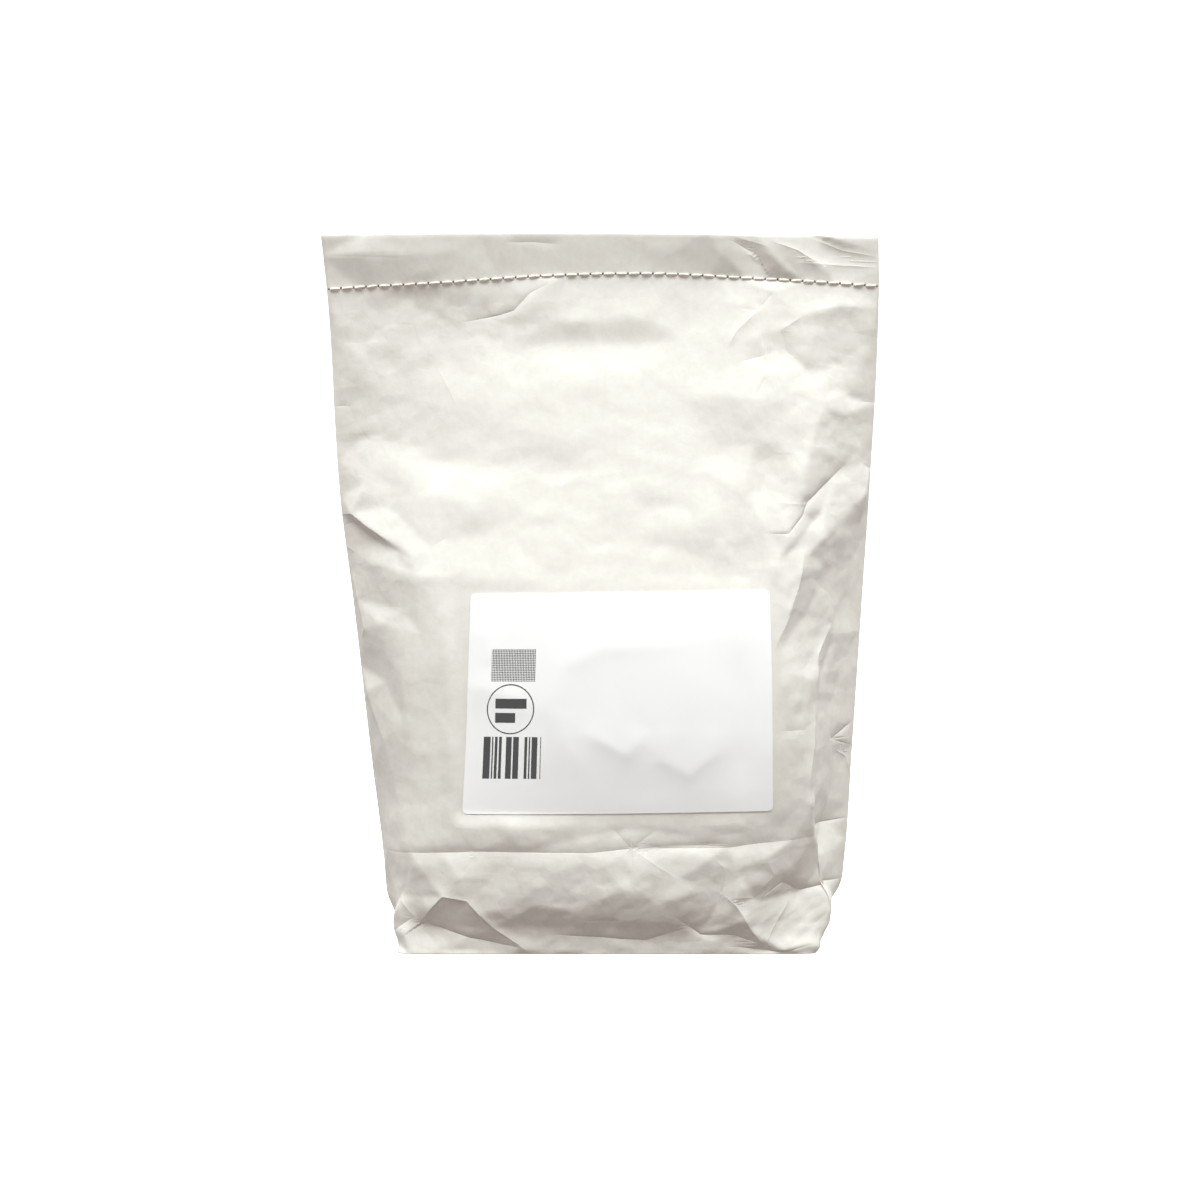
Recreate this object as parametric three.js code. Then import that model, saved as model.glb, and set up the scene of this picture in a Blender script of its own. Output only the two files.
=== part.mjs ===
// A paper bag of psyllium husk, filled, standing on its folded block bottom and sewn shut.
//
// The bag is a flat paper tube. Its mouth is folded back once and sewn through, so the tube stays
// flat and almost at full width there, and its foot is opened out into a rectangle. Paper doesn't
// stretch: wherever the filling pushes the bag deeper, the two folded edges of the tube draw closer
// together, and the tube bends along a corner crease on either side of each panel. That rule gives
// every section.
//
// Millimetres, +Z up, the labelled face towards -Y. The origin is the middle of the base.

import * as THREE from "three";

// Driving dimensions.
const TUBE_WIDTH = 272; // the tube pressed flat, from folded edge to folded edge
const BAG_HEIGHT = 348;
const STITCH_HEIGHT = 328; // the row of stitching at the middle of the bag
const HEM_END = 316; // the raw edge of the folded mouth, down the back
const HEM_STEP = 0.8; // how far the folded mouth stands off the back
const MOUTH_LEAN = 5; // how much further the mouth leans forward at its left end
const LEAN_SPAN = [-120, -20]; // that lean is whole up to the first place across, and ends at the second
const MOUTH_SLANT = 0.8; // how much lower the mouth's right end is than its middle
const LABEL_WIDTH = 148;
const LABEL_HEIGHT = 104;
const LABEL_CORNER = 2.5;
// where the label's corners lie on the flattened tube, as [across, up], anticlockwise from the
// lower left one: it was stuck on a little askew, and its top is pulled together by the crown
const LABEL_CORNERS = [[-73, 70], [75, 72], [76, 176], [-66, 174]];
const LABEL_MARGIN = 7; // the paper beside the label that it keeps flat
const SHEET_THICKNESS = 0.35;
const CLEARANCE = 0.3; // between the bag and what lies on it
const STITCH_PITCH = 6.1;
const THREAD_RADIUS = 0.65;
const CHAIN_WIDTH = 1.5; // how much wider the chain on the back is than the dashes on the front
const SEAM_MARGIN = 2; // from either end of the thread to the folded edge
const DRAW_IN = 0.4; // the bag is narrower than the flat tube by at least this times its half depth
const EDGE_POWER = 14; // what lies on a panel ends at the folded edges, as this power of the reach

// How the bag changes with height, each as [height, value].
const WIDTHS = [[0, 217], [19, 224], [44, 229.5], [94, 238], [168, 250.5], [218, 260], [267, 266],
  [STITCH_HEIGHT, 270.5], [BAG_HEIGHT, 271.6]];
const CENTRES = [[0, 3.3], [9, 3.2], [16, 4], [21, 5.2], [28, 6.6], [44, 7], [94, 5.6], [168, 3.8],
  [218, 2.3], [STITCH_HEIGHT, 1.4], [BAG_HEIGHT, 0]];
// how much of the width is left where folds take up the rest
const TUCKS = [[0, 0.918], [9, 0.94], [16, 0.963], [21, 0.985], [26, 0.998], [40, 1], [150, 0.998],
  [200, 0.995], [250, 0.99], [STITCH_HEIGHT, 0.982], [BAG_HEIGHT, 0.982]];
const HALF_DEPTHS = [[0, 24.8], [4, 23.8], [9, 22.8], [13, 22.7], [18, 24.2], [24, 26.2], [32, 28.2],
  [44, 29.7], [56, 31], [80, 33.3], [110, 34.8], [130, 34.7], [150, 33.6], [165, 32.1], [180, 29.9],
  [200, 25.9], [220, 21.1], [240, 16.1], [260, 11.7], [280, 7.5], [300, 3.8], [312, 1.9], [321, 0.9],
  [STITCH_HEIGHT, 0.7], [BAG_HEIGHT, 0.7]];
const MIDPLANES = [[0, 0], [100, 0.5], [150, 1.2], [200, 2.1], [240, 2.1], [280, 1.1], [300, 0.2],
  [STITCH_HEIGHT, -1.5], [BAG_HEIGHT, -2.8]];
const CROWNS = [[0, 0], [30, 1], [56, 2], [120, 4.6], [220, 4.6], [270, 3.2], [296, 1.2], [312, 0.3],
  [STITCH_HEIGHT, 0], [BAG_HEIGHT, 0]];
// the height that is lost as the panels lean inwards, and how far rows bow down to the edges
const SHORTFALLS = [[0, 0], [180, 0], [STITCH_HEIGHT, 2.1], [BAG_HEIGHT, 2.2]];
const EDGE_DROPS = [[0, 0], [220, 1], [STITCH_HEIGHT, 6.7], [BAG_HEIGHT, 1.4]];
// how far the seam wanders off its row, as [across, height], and how much of that each row shares
const SEAM_WANDER = [[-TUBE_WIDTH / 2, -0.8], [-80, -1.9], [-30, -0.7], [30, 0.3], [70, -0.2],
  [TUBE_WIDTH / 2, 0.7]];
const SEAM_SHARES = [[0, 0], [280, 0], [STITCH_HEIGHT, 1], [BAG_HEIGHT, 0]];
// the radius, roughly, of the corner creases
const LEFT_ROUNDING = [[0, 3], [24, 6], [50, 14], [120, 30], [250, 30], [STITCH_HEIGHT, 1], [BAG_HEIGHT, 1]];
const RIGHT_ROUNDING = [[0, 3], [50, 5], [120, 5], [250, 12], [STITCH_HEIGHT, 1], [BAG_HEIGHT, 1]];

// The creases that shape the bag. A path runs over the flattened tube as [across, up]. The paper
// stands proud of it by height, or lies below where that is negative, and falls back over the
// flank on the left of the path and the flank on its right.
const FRONT_CREASES = [
  // the fold that the block bottom left across the front when the empty bag was stored flat
  { path: [[-136, 47], [-102, 50], [0, 53], [54, 54], [95, 58], [136, 61]], height: -1.6, left: 5, right: 5 },
  // the filling that sags over the front edge of the base
  { path: [[-70, 34], [-20, 30], [34, 28]], height: 3.6, left: 16, right: 10 },
  // the crushed corner of the base on the right, and the tucked one on the left
  { path: [[100, 66], [108, 50], [96, 36], [84, 28]], height: -6.5, left: 16, right: 14 },
  { path: [[-124, 22], [-114, 24]], height: -3, left: 9, right: 9 },
  { path: [[-118, 24], [-110, 27], [-97, 17]], height: 3, left: 7, right: 5 },
  // the buckle on the left edge, two thirds of the way up
  { path: [[-130, 213], [-122, 211], [-106, 198]], height: 4.2, left: 13, right: 4 },
  { path: [[-128, 203], [-116, 196]], height: -2.5, left: 4, right: 8 },
  // the long folds from the upper right edge down to the label
  { path: [[76, 200], [86, 203], [96, 218], [118, 237]], height: -4, left: 9, right: 7 },
  { path: [[74, 146], [88, 170], [94, 195], [114, 213], [128, 236]], height: 4.5, left: 8, right: 10 },
  // the corner between the front and the right side, beside the label
  { path: [[103, 60], [103, 123], [106, 150], [116, 160]], height: 2, left: 9, right: 7 },
  { path: [[116, 106], [124, 99], [132, 97]], height: -3, left: 5, right: 5 },
  // the broad hollows and swellings on either side of the label and above it
  { path: [[-104, 80], [-106, 172]], height: 3.4, left: 14, right: 14 },
  { path: [[-88, 292], [-92, 256], [-76, 220]], height: -4, left: 15, right: 15 },
  { path: [[62, 308], [76, 270], [92, 232]], height: 2.8, left: 14, right: 14 },
  // the diagonal folds in the mouth on the right, and the crease stars below them
  { path: [[62, 345], [74, 340], [83, 328]], height: 1.6, left: 5, right: 4 },
  { path: [[86, 345], [108, 335]], height: 1.4, left: 5, right: 5 },
  { path: [[76, 312], [80, 290], [72, 268]], height: -1.8, left: 8, right: 8 },
  { path: [[84, 304], [98, 316]], height: 1.6, left: 6, right: 6 },
];
const BACK_CREASES = [
  { path: [[-120, 56], [-40, 53], [50, 55], [120, 52]], height: -1.6, left: 7, right: 8 },
  { path: [[-100, 8], [-50, 12], [-10, 8]], height: -4, left: 12, right: 6 },
  { path: [[20, 9], [60, 13], [100, 8]], height: -4, left: 12, right: 6 },
  { path: [[-122, 190], [-96, 206], [-84, 232]], height: 3.6, left: 9, right: 9 },
  { path: [[84, 168], [98, 196], [120, 214]], height: 3.6, left: 9, right: 9 },
  { path: [[-70, 300], [-62, 270]], height: -1.8, left: 9, right: 9 },
];

// A value read from [place, value] knots by a smooth curve that passes through each of them.
function through(knots, at) {
  const last = knots.length - 1;
  const rise = (i) => (knots[i + 1][1] - knots[i][1]) / (knots[i + 1][0] - knots[i][0]);
  const slope = (i) => {
    if (i === 0 || i === last) return rise(Math.min(i, last - 1));
    return rise(i - 1) * rise(i) <= 0 ? 0 : (rise(i - 1) + rise(i)) / 2;
  };
  let i = 0;
  while (i < last - 1 && at >= knots[i + 1][0]) i++;
  const step = knots[i + 1][0] - knots[i][0];
  const t = (at - knots[i][0]) / step;
  return (1 + 2 * t) * (1 - t) ** 2 * knots[i][1] + t * (1 - t) ** 2 * step * slope(i)
    + t * t * (3 - 2 * t) * knots[i + 1][1] + t * t * (t - 1) * step * slope(i + 1);
}

// A ramp that leaves 0 where `past` does and comes to `reach` with it. Its corner is rounded over
// `rounding`.
function softRamp(past, reach, rounding) {
  const ramp = (s) => (s + Math.hypot(s, rounding)) / 2;
  return (ramp(past) * reach) / ramp(reach);
}

// How far a crease lifts the paper at a place: an exponential flank on either side of its path,
// fading over the last quarter at both ends.
function lift(crease, across, up) {
  const points = crease.path.map(([x, y]) => new THREE.Vector2(x, y));
  const lengths = points.slice(1).map((p, i) => p.distanceTo(points[i]));
  const total = lengths.reduce((sum, length) => sum + length, 0);
  const place = new THREE.Vector2(across, up);
  let nearest = { distance: Infinity };
  let before = 0;
  lengths.forEach((length, i) => {
    const along = points[i + 1].clone().sub(points[i]).divideScalar(length);
    const from = place.clone().sub(points[i]);
    const t = THREE.MathUtils.clamp(from.dot(along), 0, length);
    const distance = from.distanceTo(along.clone().multiplyScalar(t));
    if (distance < nearest.distance) nearest = { distance, left: along.cross(from) > 0, at: before + t };
    before += length;
  });
  const fade = Math.min(1, 0.3 + (2.8 * Math.min(nearest.at, total - nearest.at)) / total);
  return crease.height * fade * Math.exp(-nearest.distance / (nearest.left ? crease.left : crease.right));
}

// 1 under the label, which keeps the paper flat, fading to 0 a short way outside it.
function underLabel(across, up) {
  const corners = LABEL_CORNERS.map(([x, y]) => new THREE.Vector2(x, y));
  const reach = new THREE.Box2().setFromPoints(corners);
  const past = reach.distanceToPoint(new THREE.Vector2(across, up));
  return 1 - THREE.MathUtils.smoothstep(past, LABEL_MARGIN, 2 * LABEL_MARGIN);
}

// The creases' whole relief at a place. It dies out at the tube's folded edges, where front and
// back meet.
function relief(across, up, side) {
  const creases = side < 0 ? FRONT_CREASES : BACK_CREASES;
  const sum = creases.reduce((height, crease) => height + lift(crease, across, up), 0);
  const edge = 1 - (Math.abs(across) / (TUBE_WIDTH / 2)) ** EDGE_POWER;
  return sum * edge * (side < 0 ? 1 - underLabel(across, up) : 1);
}

// The point of the bag's surface that is `across` mm from the tube's middle and `up` mm high,
// on the front (side -1) or the back (side 1), raised by `proud` mm off the paper. The panel lies
// at half the bag's depth up to its corner crease, and past it slants to the tube's folded edge.
function onBag(across, up, side, proud = 0) {
  const half = TUBE_WIDTH / 2;
  const depth = through(HALF_DEPTHS, up);
  const width = Math.min(through(WIDTHS, up), TUBE_WIDTH - DRAW_IN * depth);
  // the angle that the paper turns at a corner crease, and the paper left between crease and edge
  const turn = 2 * Math.atan2(TUBE_WIDTH - width, 2 * depth);
  const flank = depth / Math.sin(turn);
  const corner = half - flank;
  const share = THREE.MathUtils.smoothstep(across, -60, 60);
  const rounding = through(LEFT_ROUNDING, up) * (1 - share) + through(RIGHT_ROUNDING, up) * share;
  const reach = Math.abs(across);
  const ramp = softRamp(reach - corner, flank, rounding);
  const bent = (1 + (reach - corner) / Math.hypot(reach - corner, rounding)) / 2;
  const t = across / half;

  const outward = new THREE.Vector2(Math.sign(across) * Math.sin(turn) * bent,
    side * (1 - (1 - Math.cos(turn)) * bent));
  outward.normalize().multiplyScalar(relief(across, up, side) + proud);
  const folded = side > 0 ? THREE.MathUtils.smoothstep(up, HEM_END - 0.5, HEM_END + 0.5) : 0;
  const crown = through(CROWNS, up) * (1 - t * t) ** 2 + HEM_STEP * folded * (1 - Math.abs(t) ** EDGE_POWER);
  const spread = through(TUCKS, up) * Math.sign(across) * (reach - (1 - Math.cos(turn)) * ramp);
  const x = through(CENTRES, up) + spread + outward.x;
  const lean = THREE.MathUtils.smoothstep(up, STITCH_HEIGHT, 2 * BAG_HEIGHT - STITCH_HEIGHT)
    * (1 - THREE.MathUtils.smoothstep(across, ...LEAN_SPAN));
  const out = side * (depth - Math.sin(turn) * ramp + crown);
  const y = through(MIDPLANES, up) + out - MOUTH_LEAN * lean + outward.y;
  const sunk = through(SHORTFALLS, up) + through(EDGE_DROPS, up) * t * t;
  const slant = MOUTH_SLANT * t * THREE.MathUtils.smoothstep(up, STITCH_HEIGHT, BAG_HEIGHT);
  const z = up - sunk - slant + through(SEAM_WANDER, across) * through(SEAM_SHARES, up);
  return new THREE.Vector3(x, y, z);
}

// `count` equal steps from one value up to, but not including, another.
const steps = (from, to, count) => Array.from({ length: count }, (_, i) => from + ((to - from) * i) / count);

// A closed surface through rings of equally many points. Both ends are shut by a flat lid, whose
// triangles are found on the two coordinates that `flat` picks. The rings run anticlockwise as
// seen from the last one.
function closedSkin(rings, flat) {
  const around = rings[0].length;
  const faces = [];
  for (let row = 0; row + 1 < rings.length; row++) {
    for (let i = 0; i < around; i++) {
      const [a, b] = [row * around + i, row * around + ((i + 1) % around)];
      faces.push(a, b, b + around, a, b + around, a + around);
    }
  }
  const lid = (ring) => THREE.ShapeUtils.triangulateShape(ring.map(flat), []);
  const top = (rings.length - 1) * around;
  lid(rings[0]).forEach(([a, b, c]) => faces.push(c, b, a));
  lid(rings[rings.length - 1]).forEach(([a, b, c]) => faces.push(top + a, top + b, top + c));
  const geometry = new THREE.BufferGeometry().setFromPoints(rings.flat());
  geometry.setIndex(faces);
  geometry.computeVertexNormals();
  return geometry;
}

// The bag: one ring of paper at each height, the front from left to right and the back returning.
function bagGeometry() {
  const columns = 40;
  const half = TUBE_WIDTH / 2;
  const across = [...steps(-half, half, columns), half];
  const heights = [...steps(0, 62, 14), ...steps(62, HEM_END - 0.6, 35), HEM_END - 0.6, HEM_END + 0.6,
    ...steps(HEM_END + 4, STITCH_HEIGHT, 2), ...steps(STITCH_HEIGHT, BAG_HEIGHT, 5), BAG_HEIGHT];
  const ringAt = (up) => [
    ...across.map((x) => onBag(x, up, -1)),
    ...across.slice(1, -1).reverse().map((x) => onBag(x, up, 1)),
  ];
  return closedSkin(heights.map(ringAt), (p) => new THREE.Vector2(p.x, p.y));
}

// The label: a thin sheet that follows the bag, as rings round its own thickness from the bottom
// row to the top one. Its rounded corners are cut straight, through the middle of each arc.
function labelGeometry() {
  const [columns, rows] = [12, 8];
  const cut = LABEL_CORNER * (1 - Math.SQRT1_2);
  const spread = (size, count) => [0, ...steps(LABEL_CORNER, size - LABEL_CORNER, count),
    size - LABEL_CORNER, size];
  const corners = LABEL_CORNERS.map(([x, y]) => new THREE.Vector2(x, y));
  // a point of the sheet, in mm from its lower left corner
  const onLabel = (x, y, proud) => {
    const inset = x % LABEL_WIDTH === 0 && y % LABEL_HEIGHT === 0 ? cut : 0;
    const u = THREE.MathUtils.clamp(x, inset, LABEL_WIDTH - inset) / LABEL_WIDTH;
    const v = THREE.MathUtils.clamp(y, inset, LABEL_HEIGHT - inset) / LABEL_HEIGHT;
    const low = corners[0].clone().lerp(corners[1], u);
    const place = low.lerp(corners[3].clone().lerp(corners[2], u), v);
    return onBag(place.x, place.y, -1, proud);
  };
  const across = spread(LABEL_WIDTH, columns);
  const ringAt = (y) => [
    ...across.map((x) => onLabel(x, y, CLEARANCE + SHEET_THICKNESS)),
    ...[...across].reverse().map((x) => onLabel(x, y, CLEARANCE)),
  ];
  return closedSkin(spread(LABEL_HEIGHT, rows).map(ringAt), (p) => new THREE.Vector2(p.x, p.y));
}

// One side of the seam: a cord that swells at each stitch and narrows where the needle went
// through. `wide` and `thick` are the half sizes of a stitch, and each one lies at a slight slant.
function threadGeometry(side, wide, thick) {
  const sides = 5;
  const stitches = Math.floor((TUBE_WIDTH - 2 * SEAM_MARGIN) / STITCH_PITCH);
  const start = (-stitches * STITCH_PITCH) / 2;
  // along one stitch: how far it has got, its share of the full thickness, and its slant
  const outline = [[0.04, 0.3, 0], [0.2, 0.95, -0.3], [0.5, 1, 0], [0.8, 0.95, 0.3]];
  const ringAt = (across, share, slant) => {
    const middle = onBag(across, STITCH_HEIGHT, side, CLEARANCE + thick);
    return Array.from({ length: sides }, (_, i) => {
      const angle = (2 * Math.PI * i) / sides;
      return new THREE.Vector3(middle.x, middle.y + Math.cos(angle) * thick * share,
        middle.z + slant + Math.sin(angle) * wide * share);
    });
  };
  const rings = steps(0, stitches, stitches).flatMap((stitch) => outline.map(
    ([t, share, slant]) => ringAt(start + (stitch + t) * STITCH_PITCH, share, slant)));
  rings.push(ringAt(-start, outline[0][1], 0));
  return closedSkin(rings, (p) => new THREE.Vector2(p.y, p.z));
}

const paper = new THREE.MeshStandardMaterial({ color: "#e6e1da", roughness: 0.75, metalness: 0 });
const labelPaper = new THREE.MeshStandardMaterial({ color: "#f4f5f4", roughness: 0.5, metalness: 0 });
const cotton = new THREE.MeshStandardMaterial({ color: "#efebe2", roughness: 0.9, metalness: 0 });

// A named piece of the bag.
function piece(name, geometry, material) {
  const mesh = new THREE.Mesh(geometry, material);
  mesh.name = name;
  return mesh;
}

const bag = new THREE.Group();
bag.add(
  piece("bag", bagGeometry(), paper),
  piece("label", labelGeometry(), labelPaper),
  piece("thread_front", threadGeometry(-1, THREAD_RADIUS, THREAD_RADIUS), cotton),
  piece("thread_back", threadGeometry(1, CHAIN_WIDTH * THREAD_RADIUS, THREAD_RADIUS), cotton),
);

export default bag;
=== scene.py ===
"""A filled white paper bag of psyllium husk, standing on its folded block bottom and sewn shut.

The bag is a flat tube of sack paper. Its mouth is folded back once and sewn through with one
thread, and its foot is opened out into a rectangle. All shapes below start on the flattened tube:
`across` runs over it from its middle to its folded edges, `up` runs from foot to mouth, and both
are in millimetres. The frame is in metres.
"""

import math

import bpy
import numpy as np
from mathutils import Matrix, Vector
from mathutils.geometry import delaunay_2d_cdt


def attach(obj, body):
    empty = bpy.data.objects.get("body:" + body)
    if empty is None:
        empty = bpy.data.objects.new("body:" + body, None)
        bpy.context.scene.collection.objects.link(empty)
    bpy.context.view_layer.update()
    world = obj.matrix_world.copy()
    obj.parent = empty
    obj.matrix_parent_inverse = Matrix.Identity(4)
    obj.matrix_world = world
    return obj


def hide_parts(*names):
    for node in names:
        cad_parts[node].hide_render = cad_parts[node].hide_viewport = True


MM = 0.001

# ---------------------------------------------------------------- driving dimensions, millimetres

TUBE_WIDTH = 272.0
TUBE_HALF = TUBE_WIDTH / 2
BAG_HEIGHT = 348.0
SEAM = 328.0  # the row of stitching, at the middle of the bag
HEM_END = 316.0  # the raw edge of the folded mouth, down the back
HEM_STEP = 0.8  # how far the folded mouth stands off the back
HEM_POWER = 16  # the hem's step ends at the folded edges, as this power of the reach
MOUTH_LEAN = 5.0  # how much further the mouth leans forward at its left end
LEAN_SPAN = (-120, -20)  # that lean is whole up to the first place across, and ends at the second
MOUTH_SLANT = 0.8  # how much lower the mouth's right end is than its middle
DRAW_IN = 0.4  # the bag is narrower than the flat tube by at least this times its half depth
EDGE_POWER = 14  # the paper's relief ends at the folded edges, as this power of the reach
ROUNDING_SPAN = (-60, 60)  # the corner creases' rounding changes from left to right between these
STITCH_PITCH = 6.1
LABEL_SIZE = (148.0, 104.0)
LABEL_CORNER = 2.5
# where the label's corners lie, anticlockwise from the lower left one: it was stuck on a little askew
LABEL_CORNERS = ((-73, 70), (75, 72), (76, 176), (-66, 174))
LABEL_INSET = (2, 1)  # how far inside its low and high edges the label holds the paper flat
LABEL_MARGIN = 9  # over which that hold ends

# how the bag changes with height, each as (up, value)
WIDTHS = ((0, 217), (19, 224), (44, 229.5), (94, 238), (168, 250.5), (218, 260), (267, 266),
          (SEAM, 270.5), (BAG_HEIGHT, 271.6))
CENTRES = ((0, 3.3), (9, 3.2), (16, 4), (21, 5.2), (28, 6.6), (44, 7), (94, 5.6), (168, 3.8),
           (218, 2.3), (SEAM, 1.4), (BAG_HEIGHT, 0))
TUCKS = ((0, 0.918), (9, 0.94), (16, 0.963), (21, 0.985), (26, 0.998), (40, 1), (150, 0.998),
         (200, 0.995), (250, 0.99), (SEAM, 0.982), (BAG_HEIGHT, 0.982))  # the width that folds leave
HALF_DEPTHS = ((0, 24.8), (4, 23.8), (9, 22.8), (13, 22.7), (18, 24.2), (24, 26.2), (32, 28.2),
               (44, 29.7), (56, 31), (80, 33.3), (110, 34.8), (130, 34.7), (150, 33.6), (165, 32.1),
               (180, 29.9), (200, 25.9), (220, 21.1), (240, 16.1), (260, 11.7), (280, 7.5), (300, 3.8),
               (312, 1.9), (321, 0.9), (SEAM, 0.7), (BAG_HEIGHT, 0.7))
MIDPLANES = ((0, 0), (100, 0.5), (150, 1.2), (200, 2.1), (240, 2.1), (280, 1.1), (300, 0.2), (SEAM, -1.5),
             (BAG_HEIGHT, -2.8))
SHORTFALLS = ((0, 0), (180, 0), (SEAM, 2.1), (BAG_HEIGHT, 2.2))  # the height lost as the panels lean
CROWNS = ((0, 0), (30, 1), (56, 2), (120, 4.6), (220, 4.6), (270, 3.2), (296, 1.2), (312, 0.3), (SEAM, 0),
          (BAG_HEIGHT, 0))
EDGE_DROPS = ((0, 0), (220, 1), (SEAM, 6.7), (BAG_HEIGHT, 1.4))  # how far rows bow to the edges
# the radius, roughly, of the creases between the panels and the folded edges
LEFT_ROUNDING = ((0, 3), (24, 6), (50, 14), (120, 30), (250, 30), (SEAM, 1), (BAG_HEIGHT, 1))
RIGHT_ROUNDING = ((0, 3), (50, 5), (120, 5), (250, 12), (SEAM, 1), (BAG_HEIGHT, 1))
# how far the seam wanders off its row, as (across, height), and each row's share of that
SEAM_WANDER = ((-TUBE_HALF, -0.8), (-80, -1.9), (-30, -0.7), (30, 0.3), (70, -0.2), (TUBE_HALF, 0.7))
SEAM_SHARES = ((0, 0), (280, 0), (SEAM, 1), (BAG_HEIGHT, 0))

# Every fold of the paper, as (path, height, flank on the left of the path, flank on its right,
# softness). A path runs over the tube as (across, up). Height is how far the fold stands out of
# the bag; a negative one is a valley. A flank is the distance over which the paper falls back.
# A fold whose softness is under CRISP also shows as a hairline.
CRISP = 1
FOLD_FADE = (-0.12, 0.3)  # a fold grows over these shares of its length, from either end
FOLD_REACH = 6  # in flanks; beyond it a fold is nothing
FAR = 30.0  # the distance given where no crisp fold reaches
HAIRLINE_REACH = (1.2, 3.0)  # the distances over which a hairline's strength ends
MOUTH_FOLDS = (
    (((64, 346), (74, 344), (81, 342)), 0.42, 3, 3, 0.6),
    (((64, 344), (75, 339), (82, 328)), -0.54, 3, 3, 0.5),
    (((70, 340), (77, 336), (83, 328)), 0.48, 3, 2, 0.5),
    (((84, 344), (96, 341), (108, 335)), 0.66, 3, 3, 0.6),
    (((104, 346), (118, 342), (135, 340)), 0.48, 3, 1.5, 0.4),
    (((96, 336), (115, 336), (135, 336)), 0.54, 3, 3, 0.8),
    (((-133, 340), (-94, 338)), -0.15, 1, 1, 0.3),
    (((-46, 343), (-33, 343), (-20, 342)), -0.3, 1.5, 1.5, 0.5),
    (((-102, 331), (-78, 334)), 0.24, 3, 3, 2),
)
UPPER_LEFT_FOLDS = (
    (((-68, 308), (-52, 310), (-44, 312), (-36, 320), (-27, 324)), -0.65, 3, 2.5, 0.4),
    (((-66, 302), (-56, 304), (-46, 304)), 0.25, 3, 3, 1),
    (((-27, 305), (-2, 305)), 0.35, 3, 3, 3),
    (((-94, 318), (-84, 312), (-77, 308)), -0.25, 3, 3, 2),
    (((-83, 286), (-78, 277), (-72, 264)), 0.17, 3, 2, 0.5),
    (((-100, 267), (-82, 263)), -0.25, 3, 3, 1.5),
    (((-135, 268), (-129, 268)), -0.3, 1, 1, 0.3),
    (((-125, 264), (-112, 262)), -0.25, 3, 3, 1),
    (((-136, 248), (-124, 250), (-113, 252)), -0.6, 3, 3, 1),
    (((-136, 212), (-128, 212), (-107, 198)), 1, 3, 3, 0.8),
    (((-136, 206), (-129, 208), (-108, 196)), -0.8, 3, 3, 0.8),
    (((-136, 196), (-130, 193)), 0.5, 3, 2, 0.5),
    (((-134, 148), (-127, 155), (-131, 169), (-135, 186)), 0.6, 3, 3, 0.5),
    (((-115, 158), (-104, 138)), -0.55, 3, 3, 1),
    (((-120, 102), (-127, 116), (-130, 122)), 0.35, 1.5, 2.5, 0.4),
    (((-94, 182), (-80, 180)), 0.3, 3, 3, 1.5),
    (((-85, 196), (-78, 200)), -0.2, 2, 2, 0.5),
)
MIDDLE_FOLDS = (
    (((-65, 236), (-46, 235), (-21, 244)), -0.72, 6, 5, 2.5),
    (((-32, 223), (-30, 230), (-14, 232), (2, 234)), -0.54, 5, 5, 2),
    (((-20, 212), (-6, 211)), -0.27, 3, 4, 2),
    (((-46, 202), (-24, 208)), -0.45, 4, 4, 2),
    (((14, 210), (23, 215), (34, 215), (43, 210)), -0.5, 4, 5, 2.5),
    (((22, 203), (36, 200), (50, 200), (62, 202)), -0.65, 4, 6, 2),
    (((20, 192), (28, 198)), -0.36, 3, 3, 1),
    (((-10, 195), (4, 198)), -0.41, 3, 4, 1),
    (((-20, 191), (1, 192)), 0.27, 4, 3, 1.5),
    (((-16, 183), (0, 180)), 0.45, 4, 3, 1.5),
    (((52, 215), (65, 220)), -0.45, 4, 4, 1.5),
    (((48, 191), (60, 188)), 0.45, 5, 4, 2),
    (((-32, 180), (-21, 176)), -0.45, 4, 3, 1.5),
    (((-81, 256), (-62, 248), (-58, 238)), -0.54, 6, 6, 3),
)
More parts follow.
